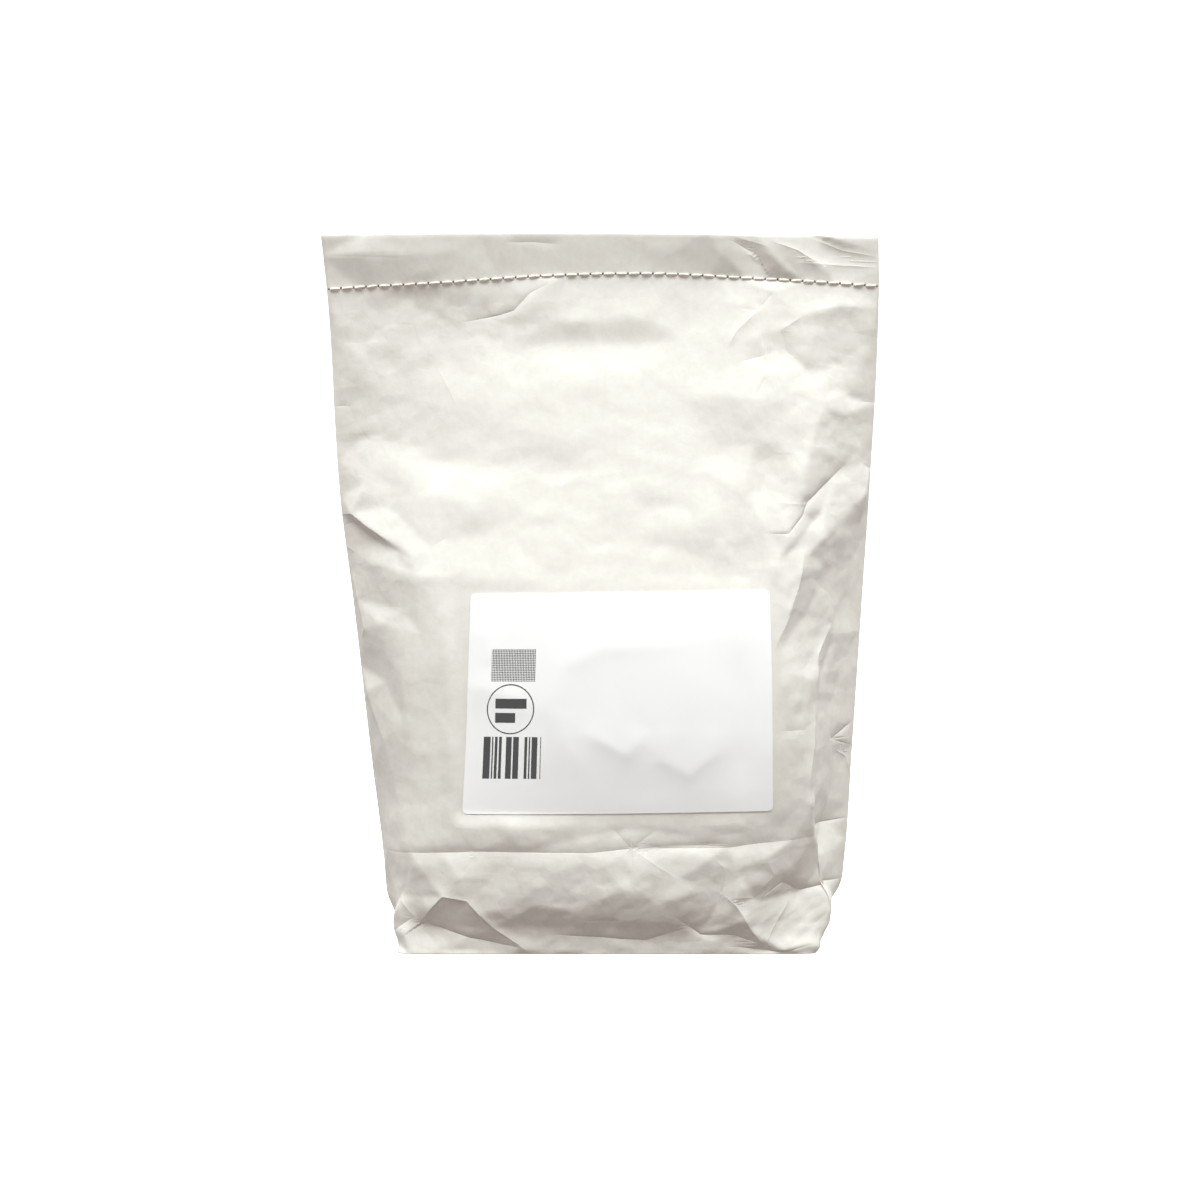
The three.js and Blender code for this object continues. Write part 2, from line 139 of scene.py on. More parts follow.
UPPER_RIGHT_FOLDS = (
    (((75, 312), (75, 324)), -0.35, 2, 2, 0.4),
    (((75, 312), (83, 322)), -0.4, 3, 2, 0.4),
    (((66, 313), (75, 312)), -0.25, 2, 2, 0.4),
    (((60, 293), (64, 301), (75, 312)), 0.6, 3, 3, 0.6),
    (((66, 286), (78, 290)), -0.4, 3, 3, 0.6),
    (((78, 290), (75, 312)), -0.2, 2, 2, 0.4),
    (((86, 303), (96, 310)), 0.5, 3, 3, 0.5),
    (((86, 303), (88, 293), (92, 290)), -0.25, 2, 2, 0.5),
    (((96, 310), (115, 317), (135, 318)), 0.8, 3, 3, 1.5),
    (((89, 292), (106, 276), (136, 268)), -0.75, 3, 3, 1.5),
    (((114, 288), (134, 287)), -0.3, 3, 3, 1.5),
    (((128, 270), (136, 270)), -0.3, 1, 1, 0.3),
    (((80, 282), (80, 294)), -0.45, 1.5, 2.5, 0.3),
    (((72, 268), (78, 279)), -0.35, 2, 3, 0.5),
    (((77, 222), (77, 262)), -0.7, 3, 3, 3),
    (((94, 226), (98, 242), (106, 266)), 0.9, 3, 3, 1.5),
    (((110, 258), (115, 261)), -0.2, 2, 2, 1),
    (((121, 253), (127, 251)), -0.2, 2, 2, 1),
    (((130, 237), (136, 235)), -0.4, 1, 1, 0.3),
    (((78, 202), (86, 202), (94, 211), (96, 217), (110, 228), (119, 236)), -1.2, 3, 3, 0.6),
    (((82, 217), (96, 216)), 0.25, 2, 1.5, 0.3),
    (((76, 174), (81, 191), (94, 202), (107, 216), (120, 228), (130, 236)), 1.2, 3, 3, 1.5),
    (((96, 193), (114, 204), (130, 221)), -1.2, 3, 3, 1),
    (((84, 162), (90, 176), (94, 195)), 0.8, 3, 3, 0.4),
    (((131, 208), (130, 228)), -0.25, 2, 1, 0.3),
    (((109, 186), (112, 188)), 0.3, 2, 2, 0.4),
)
LOWER_RIGHT_FOLDS = (
    (((76, 146), (84, 160), (90, 176)), 0.6, 3, 3, 0.6),
    (((76, 146), (98, 165), (110, 185)), -0.8, 3, 3, 2),
    (((102, 126), (104, 144), (114, 158)), 0.7, 3, 3, 0.6),
    (((105, 133), (112, 141), (115, 154)), -0.8, 3, 3, 1.2),
    (((80, 110), (94, 110)), -0.25, 0.8, 0.8, 0.2),
    (((96, 58), (95, 71), (96, 88), (100, 104), (102, 126)), 0.75, 3, 3, 0.8),
    (((116, 106), (119, 102), (134, 109)), -1, 2.5, 2.5, 0.4),
    (((119, 102), (132, 98)), -0.8, 2, 2.5, 0.4),
    (((124, 96), (132, 92), (136, 82)), 0.75, 3, 3, 0.6),
    (((96, 58), (102, 62), (134, 61)), -1.2, 3, 3, 0.5),
    (((95, 71), (100, 78)), 0.5, 3, 3, 0.5),
    (((110, 36), (106, 48), (102, 61)), 0.4, 3, 3, 1),
    (((68, 27), (80, 36), (89, 30), (110, 35), (134, 31)), -1.2, 3, 3, 0.8),
    (((82, 4), (84, 14), (84, 28)), 0.6, 3, 3, 0.5),
    (((50, 32), (58, 26), (80, 6)), 0.9, 3, 3, 0.6),
    (((58, 44), (69, 42)), -0.4, 3, 3, 1.5),
    (((48, 48), (52, 44), (50, 30)), 0.4, 2.5, 2.5, 0.5),
    (((54, 30), (66, 29), (76, 40), (72, 48)), 0.4, 3, 3, 0.8),
    (((66, 4), (82, 2), (92, 1), (106, 5)), -1, 3, 2, 0.5),
)
FOOT_FOLDS = (
    (((-136, 46), (-125, 47), (-101, 50), (-66, 52), (-12, 52), (8, 54), (53, 54), (69, 56), (96, 58)),
      -0.55, 2.2, 3, 0.3),
    (((-125, 47), (-66, 52), (8, 53), (53, 54), (96, 58)), -0.6, 3, 3, 3),
    (((11, 54), (30, 55), (53, 56)), -0.5, 3, 2, 0.4),
    (((8, 54), (0, 63)), -0.25, 2, 2, 0.4),
    (((8, 54), (20, 63)), -0.25, 2, 2, 0.4),
    (((4, 34), (8, 45), (8, 54)), -0.25, 2, 2, 0.4),
    (((8, 54), (30, 39)), 0.25, 3, 3, 0.6),
    (((-74, 40), (-66, 50)), -0.2, 2, 2, 0.5),
    (((-120, 16), (-106, 28), (-96, 18)), 0.5, 3, 3, 0.6),
    (((-114, 8), (-97, 18)), -0.75, 3, 3, 0.6),
    (((-104, 9), (-94, 15), (-82, 30), (-70, 28), (-57, 14), (-40, 1)), 1.2, 3, 3, 0.8),
    (((-104, 9), (-92, 15), (-70, 8), (-47, 4)), -1.2, 3, 3, 0.5),
    (((-38, 26), (-20, 24)), 0.6, 3, 3, 1.2),
    (((-14, 18), (6, 18)), -0.4, 3, 2, 0.6),
    (((-24, 10), (20, 7), (40, 14)), -1.2, 3, 3, 0.8),
    (((33, 19), (48, 10), (64, 10), (78, 6)), -1.2, 3, 3, 0.4),
)
# how the label's sheet undulates, with the paper under it
LABEL_FOLDS = (
    (((40, 151), (-4, 149), (-22, 140), (-28, 121), (-22, 102), (-10, 90)), 0.7, 7, 12, 2),
    (((-15, 111), (7, 100), (18, 111)), 0.8, 10, 5, 1.5),
    (((23, 115), (24, 97), (36, 90), (48, 100), (51, 114)), 0.6, 9, 4, 1.5),
    (((-71, 131), (-57, 129), (-37, 123)), 0.8, 8, 10, 2),
    (((60, 150), (61, 120), (60, 81)), -0.8, 5, 5, 2),
    (((-60, 160), (-56, 140)), 0.4, 5, 5, 2),
)
BACK_FOLDS = (
    (((-136, 58), (-96, 56), (-40, 53), (50, 55), (120, 50)), -1.1, 2.2, 3, 0.3),
    (((-120, 56), (-40, 53), (50, 55), (120, 50)), -1.2, 9, 9, 3),
    (((-100, 8), (-50, 12), (-10, 8)), -4, 12, 4, 0.6),
    (((20, 9), (60, 13), (100, 8)), -4, 12, 4, 0.6),
    (((-122, 190), (-96, 206), (-84, 232)), 3.2, 8, 8, 1),
    (((-118, 176), (-98, 186), (-76, 222)), -2.4, 6, 6, 0.8),
    (((84, 168), (98, 196), (120, 214)), 3.2, 8, 8, 1),
    (((92, 164), (110, 184), (126, 196)), -2.2, 6, 6, 0.8),
    (((-70, 304), (-64, 288), (-62, 266)), -1.6, 6, 6, 1),
    (((30, 306), (44, 296), (64, 300)), -1.0, 5, 3, 0.6),
    (((60, 278), (84, 270), (112, 276)), 1.2, 6, 5, 1),
    (((-40, 240), (-10, 246), (22, 238)), -0.8, 6, 5, 2),
    (((-20, 150), (10, 144), (40, 150)), -0.7, 6, 5, 2),
    (((-96, 58), (-100, 80), (-98, 120)), 1.6, 6, 6, 0.8),
    (((98, 58), (102, 84), (100, 118)), 1.6, 6, 6, 0.8),
    (((-60, 100), (-34, 92), (-12, 98)), 0.7, 5, 4, 1.5),
    # the lap where the tube was glued, and finer creases
    (((36, 24), (36, 180), (36, 312)), 0.45, 1.2, 14, 0.2),
    (((-136, 232), (-118, 226), (-104, 208)), 1.4, 4, 4, 0.5),
    (((-136, 150), (-120, 158), (-112, 172)), 1.2, 4, 4, 0.5),
    (((136, 250), (116, 240), (104, 222)), 1.4, 4, 4, 0.5),
    (((136, 176), (122, 182), (112, 196)), -1.4, 4, 4, 0.5),
    (((-90, 306), (-98, 290), (-120, 282)), 0.9, 4, 4, 0.6),
    (((84, 308), (96, 292), (122, 288)), 0.9, 4, 4, 0.6),
    (((-30, 306), (-22, 292), (-26, 276)), -0.6, 4, 4, 1),
    (((-78, 262), (-52, 254), (-30, 258)), 0.6, 4, 5, 1.2),
    (((48, 232), (70, 222), (84, 226)), -0.6, 4, 4, 1),
    (((-84, 140), (-66, 128), (-62, 112)), 0.7, 4, 4, 0.8),
    (((60, 130), (78, 116), (82, 98)), 0.7, 4, 4, 0.8),
    (((-60, 54), (-52, 38), (-58, 20)), 0.9, 4, 4, 0.6),
    (((10, 53), (16, 36), (8, 18)), 0.8, 4, 4, 0.6),
    (((74, 54), (66, 38), (76, 20)), 0.9, 4, 4, 0.6),
    (((-118, 50), (-108, 34), (-112, 14)), -1.4, 4, 4, 0.5),
    (((116, 50), (106, 34), (110, 14)), -1.4, 4, 4, 0.5),
)

# The net of creases on the front, as (height at the start, height at the end, path): how far each
# stands out of the bag, or lies below it. Heights are in steps of half a millimetre.
CREASES = (
    # the mouth above the seam
    (0.5, 0.5, ((-110, 348), (-84, 348), (-60, 348))),
    (1.5, 1, ((-40, 348), (-18, 348), (8, 348))),
    (1.5, 3, ((34, 348), (52, 348))),
    (2.5, -0.5, ((64, 348), (74, 339))),
    (-0.5, 0, ((74, 339), (82, 328))),
    (1, 3, ((74, 348), (82, 339))),
    (3, 0, ((82, 339), (90, 332), (98, 328))),
    (2.5, 0, ((84, 348), (97, 340))),
    (0, 0, ((97, 340), (108, 334), (114, 328))),
    (-1, -1.5, ((104, 348), (118, 342))),
    (-1.5, 0, ((118, 342), (136, 341))),
    (0, -1.5, ((97, 340), (115, 336))),
    (-1.5, 0, ((115, 336), (136, 336))),
    (2, 0, ((58, 338), (64, 334), (70, 328))),
    (1.5, 1, ((-46, 343), (-33, 343), (-20, 342))),
    (2.5, 1, ((-116, 340), (-92, 339), (-70, 340))),
    (0.5, 1, ((8, 338), (34, 338))),
    # the upper left, where the filling stops and the panel falls in
    (-2, 2, ((-72, 304), (-66, 308), (-52, 310), (-44, 312), (-36, 320), (-27, 324))),
    (-2, -2, ((-66, 301), (-56, 303), (-46, 304))),
    (-2, 1, ((-46, 304), (-27, 304))),
    (1, 1, ((-27, 304), (-2, 305), (22, 306))),
    (-0.5, -2, ((-94, 318), (-84, 312), (-77, 308), (-72, 304))),
    (0, -0.5, ((-136, 318), (-118, 316), (-94, 318))),
    (0, -1, ((-136, 296), (-110, 298))),
    (-1, -1.5, ((-110, 298), (-83, 286))),
    (-1.5, 0, ((-83, 286), (-78, 277), (-72, 264))),
    (0, -0.5, ((-136, 268), (-125, 264), (-112, 262), (-100, 267))),
    (-0.5, 0, ((-100, 267), (-82, 262), (-72, 264))),
    (0, -0.5, ((-136, 248), (-124, 250), (-113, 252))),
    (-0.5, -3, ((-113, 252), (-96, 246), (-80, 236))),
    (-0.5, -0.5, ((-81, 256), (-62, 248), (-58, 238))),
    (-1, 2.5, ((-104, 240), (-118, 228))),
    (-2, -2, ((-72, 289), (-50, 292))),
    (-2, -2, ((-50, 292), (-20, 294), (10, 294))),
    (-2, 0.5, ((10, 294), (38, 296), (60, 293))),
    # the buckle on the left edge, and the edge below it
    (0, 4, ((-136, 212), (-128, 212))),
    (4, 5, ((-128, 212), (-118, 205))),
    (5, 3, ((-118, 205), (-107, 198))),
    (3, 2, ((-107, 198), (-96, 192))),
    (0, 1, ((-136, 206), (-129, 208))),
    (1, 1, ((-129, 208), (-119, 202), (-110, 196))),
    (1, 3, ((-110, 196), (-107, 198))),
    (0, 3, ((-136, 196), (-130, 193), (-120, 188))),
    (0, 3, ((-136, 148), (-127, 155))),
    (3, 0, ((-127, 155), (-131, 169), (-136, 186))),
    (3, 0.5, ((-115, 158), (-104, 138))),
    (2, 2.5, ((-120, 102), (-127, 116), (-130, 124))),
    (2, 1, ((-94, 182), (-80, 181))),
    (0, 0, ((-68, 185), (-46, 184))),
    (-0.5, -1.5, ((-86, 195), (-78, 200))),
    # the undulations over the middle
    (-2, 0, ((-65, 236), (-46, 235), (-21, 244))),
    (-2.5, -1, ((-32, 222), (-30, 229), (-14, 232), (2, 234))),
    (-2, -1.5, ((-46, 202), (-24, 208))),
    (-1, 0.5, ((14, 210), (23, 215), (34, 216), (43, 210))),
    (-0.5, 2, ((22, 204), (36, 200), (50, 200))),
    (2, 0.5, ((50, 200), (62, 202))),
    (-0.5, -0.5, ((-16, 183), (0, 180))),
    (1.5, 2.5, ((52, 215), (65, 220))),
    (-1, -1, ((48, 190), (60, 187))),
    (0, -0.5, ((-32, 180), (-21, 176))),
    (-1.5, -1, ((-10, 195), (4, 198))),
    (-0.5, -1, ((20, 191), (28, 197))),
    (-1, -1.5, ((-20, 212), (-6, 211))),
    # the star of creases on the upper right
    (0.5, 1.5, ((75, 324), (75, 312))),
    (1.5, 1.5, ((75, 312), (75, 300))),
    (1.5, 1.5, ((75, 312), (83, 322))),
    (1.5, 1, ((75, 312), (68, 313))),
    (1.5, 0.5, ((75, 312), (64, 302), (60, 293))),
    (0.5, 1, ((60, 293), (66, 286), (78, 290))),
    (1, 1.5, ((78, 290), (75, 300))),
    (1.5, 1.5, ((75, 312), (86, 303), (96, 310))),
    (1.5, 0, ((96, 310), (115, 317), (136, 318))),
    (1, 0, ((78, 290), (88, 293))),
    (1.5, 0, ((86, 303), (88, 293))),
    (0, 1, ((88, 293), (97, 284), (106, 276))),
    (1, -1, ((106, 276), (120, 271))),
    (-1, 0, ((120, 271), (136, 270))),
    (1, -2, ((100, 298), (114, 288))),
    (-2, 0, ((114, 288), (136, 287))),
    (1.5, 3.5, ((78, 290), (80, 282), (78, 279), (72, 268))),
    (3.5, 2.5, ((72, 268), (72, 245))),
    (2.5, -0.5, ((72, 245), (74, 222))),
    (-0.5, 1.5, ((74, 222), (78, 203))),
    (3, 3, ((80, 282), (84, 268), (84, 245))),
    (3, 0.5, ((84, 245), (82, 222))),
    (0.5, 1.5, ((82, 222), (78, 203))),
    (1, 1, ((106, 276), (106, 266))),
    (1, 4, ((106, 266), (98, 242), (94, 226))),
    (4, 4, ((94, 226), (94, 211))),
    (1, 0, ((106, 266), (118, 262), (136, 258))),
    (-0.5, 1, ((112, 248), (124, 252))),
    # the two long folds from the upper right edge down to the label
    (0, 1.5, ((136, 236), (128, 237))),
    (1.5, 0, ((128, 237), (119, 236))),
    (0, 0.5, ((119, 236), (110, 228))),
    (0.5, 4, ((110, 228), (102, 221), (94, 211))),
    (4, 4, ((94, 211), (86, 203))),
    (4, 1.5, ((86, 203), (78, 203))),
    (1.5, 1, ((128, 237), (120, 228), (107, 216))),
    (1, 1, ((107, 216), (96, 204))),
    (1, 0, ((96, 204), (84, 191), (77, 180))),
    (0, 1, ((136, 208), (131, 208))),
    (1, 5, ((131, 208), (130, 222))),
    (5, 1, ((130, 222), (120, 228))),
    (5, 4, ((130, 222), (114, 204))),
    (4, 6.5, ((114, 204), (104, 199))),
    (6.5, 3.5, ((104, 199), (96, 193))),
    (3.5, 1.5, ((96, 193), (90, 177))),
    (1.5, -0.5, ((90, 177), (84, 163), (77, 148))),
    (1, -1, ((131, 208), (128, 190), (126, 171))),
    (1.5, 1, ((108, 186), (113, 189))),
    (1, 3, ((82, 217), (94, 216))),
    # the corner beside the label, down to the crushed foot
    (0, -1, ((136, 180), (126, 171))),
    (-1, 0.5, ((126, 171), (114, 158), (104, 144))),
    (0.5, 0.5, ((104, 144), (102, 126))),
    (0.5, -1.5, ((102, 126), (100, 105), (96, 88))),
    (-1.5, 0, ((96, 88), (95, 71))),
    (0, 0, ((95, 71), (96, 58))),
    (0, -1, ((115, 152), (111, 141))),
    (-1, -0.5, ((111, 141), (104, 134))),
    (0.5, -0.5, ((84, 163), (92, 150))),
    (-0.5, 0.5, ((92, 150), (102, 126))),
    (-0.5, -1, ((77, 110), (94, 110))),
    (-1.5, -1, ((100, 105), (110, 108), (119, 102))),
    (-1, 0, ((119, 102), (136, 109))),
    (-1, 0, ((119, 102), (136, 98))),
    (-1, -2, ((119, 102), (110, 92))),
    (-2, -1.5, ((110, 92), (96, 88))),
    (-3, 0, ((124, 94), (131, 91), (136, 82))),
    (-1.5, -2.5, ((112, 80), (120, 72))),
    (0, -3, ((96, 58), (102, 62))),
    (-3, -3, ((102, 62), (118, 62))),
    (-3, 0, ((118, 62), (136, 61))),
    (0, -1.5, ((95, 71), (101, 78))),
    (-3, -3.5, ((102, 62), (106, 48))),
    (-3.5, -4, ((106, 48), (110, 35))),
    (-4, 0, ((110, 35), (136, 30))),
    (-0.5, -2, ((68, 27), (80, 36))),
    (-2, -6.5, ((80, 36), (89, 30))),
    (-6.5, -4, ((89, 30), (110, 35))),
    (-4, 0.5, ((110, 35), (106, 13))),
    (0.5, 2.5, ((106, 13), (106, 5))),
    (2.5, 0, ((106, 5), (104, 0))),
    (-6.5, 1, ((89, 30), (84, 14))),
    (1, 2.5, ((84, 14), (83, 6))),
    (-1.5, 2, ((50, 32), (58, 26))),
    (2, 5, ((58, 26), (66, 17))),
    (5, 3.5, ((66, 17), (80, 8))),
    (1, 0, ((58, 44), (69, 42))),
    (-1, -0.5, ((120, 125), (124, 140))),
    # the block bottom's fold across the front, and the sagging foot below it
    (0, 0.5, ((-136, 46), (-125, 47))),
    (0.5, -0.5, ((-125, 47), (-101, 50))),
    (-0.5, 1, ((-101, 50), (-84, 51), (-66, 52))),
    (1, 1, ((-66, 52), (-43, 52), (-12, 52), (8, 54))),
    (1, 0.5, ((8, 54), (30, 54))),
    (0.5, 0, ((30, 54), (53, 54), (69, 56), (84, 57), (96, 58))),
    (1, 0, ((8, 54), (0, 63))),
    (1, 0, ((8, 54), (20, 63))),
    (1, 1.5, ((8, 54), (8, 45), (4, 34))),
    (1, 1, ((8, 54), (30, 39))),
    (1, 1.5, ((-66, 52), (-74, 40))),
    (-6.5, -6, ((-120, 16), (-106, 28))),
    (-6, -1.5, ((-106, 28), (-96, 19))),
    (-3.5, 1, ((-116, 9), (-104, 10))),
    (1, -1, ((-104, 10), (-95, 15), (-96, 19))),
    (-1, 0.5, ((-95, 15), (-82, 30), (-70, 28))),
    (0.5, 3, ((-70, 28), (-57, 14))),
    (3, 1, ((-57, 14), (-40, 3))),
    (-1, 2, ((-95, 15), (-70, 9))),
    (2, 1, ((-70, 9), (-57, 6), (-40, 3))),
    (1.5, 1.5, ((-38, 26), (-20, 24))),
    (2.5, 3.5, ((-14, 18), (6, 18))),
    (1, 2.5, ((-40, 3), (-24, 9), (0, 8))),
    (2.5, 1, ((0, 8), (20, 7))),
    (1, 4.5, ((20, 7), (33, 16))),
    (4.5, 3.5, ((33, 16), (48, 10))),
    (3.5, 2.5, ((48, 10), (64, 9), (78, 6), (83, 6))),
    (1, -1, ((44, 49), (52, 44))),
    (-1, -1.5, ((52, 44), (50, 32))),
    (2, -1.5, ((58, 26), (66, 29))),
    (-1.5, -1, ((66, 29), (76, 41))),
    (-1, 1, ((76, 41), (72, 49))),
    (2.5, 2.5, ((83, 6), (92, 2), (106, 5))),
    (1, 0, ((-104, 10), (-104, 0))),
)
# the broad hollows and swellings that the creases ride on, as (place, size, height)
BROAD_FORMS = (
    ((-90, 255), (34, 52), -4.5),
    ((-100, 128), (20, 60), 3.5),
    ((-10, 34), (75, 22), 4.5),
    ((108, 54), (22, 26), -6.5),
    ((70, 285), (38, 40), 3),
)
# where the paper only undulates and the net is blurred, as (place, size, share)
BLURRED_PLACES = (((-15, 235), (78, 75), 1.15), ((-40, 280), (70, 40), 0.6))
BLUR = 3  # the reach of each running mean, in mm
# where the paper is more crumpled than CALM, as (place, size, how much more)
CALM = 0.3
CRUMPLED_PLACES = (
    ((112, 190), (45, 130), 0.9),
    ((0, 15), (160, 45), 0.8),
    ((-125, 200), (30, 120), 0.5),
    ((-70, 305), (60, 25), 0.5),
)
# the crumpling, each kind as (height, spacing, crispness, seed)
BROAD_CRUMPLES = (0.75, 56, 9, 11)  # on the back alone
MAIN_CRUMPLES = (0.17, 20, 14, 23)
FINE_CRUMPLES = (0.035, 7.5, 20, 37)
WRINKLES = (0.1, 12, 9, 51)  # soft ones over the middle of the front
WRINKLED_PLACE = ((-5, 222), (80, 45))
WRINKLE_STRETCH = 0.7
BACK_OFFSET = 700  # so far along the front's crumpling the back's is read
MOUTH_FADE = 12  # the height below the seam over which the crumpling dies down
MOUTH_CALM = (0.85, 0.4)  # the shares of the broad and the main crumpling that go
HELD_CALM = 0.8  # the share of the crumpling that the label takes away
PINCH = 0.8  # the share of the relief that the seam takes away, over a height of
PINCH_HEIGHT = 2.5
BORDER_STEP = 17  # between the net's corners on the seam, the foot and the folded edges
STREWN_STEP = 21  # between the corners strewn where no crease is near
STREWN_GAP = 11.5  # at least this far from every crease

FRONT_FOLDS = (MOUTH_FOLDS + UPPER_LEFT_FOLDS + MIDDLE_FOLDS + UPPER_RIGHT_FOLDS + LOWER_RIGHT_FOLDS
               + FOOT_FOLDS)

# ------------------------------------------------------------------------------ the bag's surface


def through(knots, at):
    """The cubic Hermite curve through (place, value) knots, flat where the values turn back."""
    place, value = np.array(knots, float).T
    rise = np.diff(value) / np.diff(place)
    slope = np.r_[rise[0], (rise[:-1] + rise[1:]) / 2, rise[-1]]
    slope[1:-1] = np.where(rise[:-1] * rise[1:] <= 0, 0, slope[1:-1])
    i = np.clip(np.searchsorted(place, at, side="right") - 1, 0, len(rise) - 1)
    step = place[i + 1] - place[i]
    t = (at - place[i]) / step
    return ((1 + 2 * t) * (1 - t) ** 2 * value[i] + t * (1 - t) ** 2 * step * slope[i]
            + t * t * (3 - 2 * t) * value[i + 1] + t * t * (t - 1) * step * slope[i + 1])


def smoothstep(value, low, high):
    """0 below low, 1 above high, and 3t^2 - 2t^3 between."""
    t = np.clip((value - low) / (high - low), 0, 1)
    return t * t * (3 - 2 * t)


def fold_at(across, up, fold):
    """A fold's height h exp(-(sqrt(d^2 + s^2) - s) / flank) over the distance d from its path.

    The softness s rounds the ridge, and the height fades over the path's ends. Also gives the
    distance, positive on the path's left, and the fold's strength there.
    """
    path, height, left_flank, right_flank, softness = fold
    points = np.array(path, float)
    lengths = np.hypot(*np.diff(points, axis=0).T)
    total = lengths.sum()
    nearest = np.full(across.shape, 1e6)
    along = np.zeros(across.shape)
    before = 0.0
    for start, end, length in zip(points, points[1:], lengths):
        direction = (end - start) / length
        x, y = across - start[0], up - start[1]
        t = np.clip(x * direction[0] + y * direction[1], 0, length)
        distance = np.hypot(x - t * direction[0], y - t * direction[1])
        closer = distance < np.abs(nearest)
        on_left = direction[0] * y - direction[1] * x > 0
        nearest = np.where(closer, np.where(on_left, distance, -distance), nearest)
        along = np.where(closer, before + t, along)
        before += length
    strength = height * smoothstep(np.minimum(along, total - along) / total, *FOLD_FADE)
    flank = np.where(nearest > 0, left_flank, right_flank)
    lift = strength * np.exp(-(np.hypot(nearest, softness) - softness) / flank)
    return lift, nearest, strength


def fold_fields(across, up, folds):
    """The sum of all folds, and the nearest crisp fold's signed distance and strength.

    Each fold is worked out only where it reaches.
    """
    lift, line_strength = np.zeros((2, *across.shape))
    line = np.full(across.shape, FAR)
    for fold in folds:
        path = np.array(fold[0], float)
        reach = FOLD_REACH * max(fold[2], fold[3])
        low, high = path.min(0) - reach, path.max(0) + reach
        reached = (across > low[0]) & (across < high[0]) & (up > low[1]) & (up < high[1])
        added, distance, strength = fold_at(across[reached], up[reached], fold)
        lift[reached] += added
        if fold[4] < CRISP:
            closer = np.abs(distance) < np.abs(line[reached])
            line[reached] = np.where(closer, distance, line[reached])
            line_strength[reached] = np.where(closer, strength, line_strength[reached])
    return lift, line, line_strength * (1 - smoothstep(np.abs(line), *HAIRLINE_REACH))


def crumple(across, up, height, spacing, crispness, seed):
    """F_A - F_B, scaled to a spread of `height`. F is the squared distance to the nearest seed.

    Each F is a bowl round every seed. The bowls' round parts cancel in the difference, which
    leaves flat facets that meet in straight ridges and valleys, as in paper that was crumpled.
    The nearest seed is found by the smooth minimum -log(sum exp(-k F)) / k, which rounds the
    ridges: the higher the crispness, the less.
    """
    cells = 64  # the seeds repeat after so many
    spread = 0.13  # of the bare difference
    random = np.random.default_rng(seed)
    column = np.floor(across / spacing).astype(int)
    row = np.floor(up / spacing).astype(int)
    bowls = []
    for _ in range(2):
        jitter = random.random((cells, cells, 2))
        total = np.zeros(across.shape)
        for i in range(-2, 3):
            for j in range(-2, 3):
                place = jitter[(column + i) % cells, (row + j) % cells]
                x = across / spacing - (column + i + place[..., 0])
                y = up / spacing - (row + j + place[..., 1])
                total += np.exp(-crispness * (x * x + y * y))
        bowls.append(-np.log(total + 1e-30) / crispness)
    return height / spread * (bowls[0] - bowls[1])


def crease_net():
    """The corners of the net of creases, as rows (across, up, height), and the edges between them.

    A crease's height runs evenly from its start to its end, and where several meet they share the
    mean. Where no crease is near, corners are strewn at random. All of them ride on the broad forms,
    but on the seam, the foot and the folded edges the net stays on the bag.
    """
    heights, edges = {}, []
    for start, end, path in CREASES:
        along = np.r_[0, np.cumsum(np.hypot(*np.diff(np.array(path, float), axis=0).T))]
        for corner, share in zip(path, along / along[-1]):
            heights.setdefault(corner, []).append(start + (end - start) * share)
        edges += zip(path, path[1:])

    columns = np.arange(-TUBE_HALF, TUBE_HALF + 1, BORDER_STEP).tolist()
    rows = np.arange(0, BAG_HEIGHT, BORDER_STEP).tolist()
    seam = [(x, SEAM) for x in columns]
    edges += zip(seam, seam[1:])
    foot = [(x, 0.0) for x in columns]
    folded_edges = [(x, y) for x in (-TUBE_HALF, TUBE_HALF) for y in rows]
    for corner in seam + foot + folded_edges:
        heights.setdefault(corner, [0])

    random = np.random.default_rng(3)
    x, y = np.meshgrid(np.arange(-TUBE_HALF, TUBE_HALF, STREWN_STEP), np.arange(0, SEAM, STREWN_STEP))
    places = np.stack([x, y], -1).reshape(-1, 2) + random.uniform(0.1, 0.9, (x.size, 2)) * STREWN_STEP
    gap = np.full(len(places), 1e6)
    for start, end in np.array(edges, float):
        way = end - start
        share = np.clip((places - start) @ way / (way @ way), 0, 1)
        gap = np.minimum(gap, np.hypot(*(places - start - share[:, None] * way).T))
    gap = np.minimum(gap, TUBE_HALF - np.abs(places[:, 0]))
    clear = (gap > STREWN_GAP) & (under_label(places[:, 0], places[:, 1]) == 0)
    for corner in places[clear].tolist():
        heights[tuple(corner)] = [0]

    corners = np.array([(*corner, np.mean(values)) for corner, values in heights.items()])
    across, up = corners[:, 0], corners[:, 1]
    for place, size, height in BROAD_FORMS:
        corners[:, 2] += height * near(across, up, place, size)
    corners[(np.abs(across) == TUBE_HALF) | (up == SEAM) | (up == 0), 2] = 0
    number = {corner: i for i, corner in enumerate(heights)}
    return corners, [(number[a], number[b]) for a, b in edges]


def spread_evenly(grid, reach):
    """Three passes of a running mean, along both directions of the grid."""
    for _ in range(3):
        for axis in (0, 1):
            count = grid.shape[axis]
            place = np.clip(np.arange(-reach, count + reach), 0, count - 1)
            sums = np.cumsum(np.take(grid, place, axis), axis)
            sums = np.concatenate([np.zeros_like(np.take(sums, [0], axis)), sums], axis)
            wide = 2 * reach + 1
            start = np.arange(count)
            grid = (np.take(sums, wide + start, axis) - np.take(sums, start, axis)) / wide
    return grid


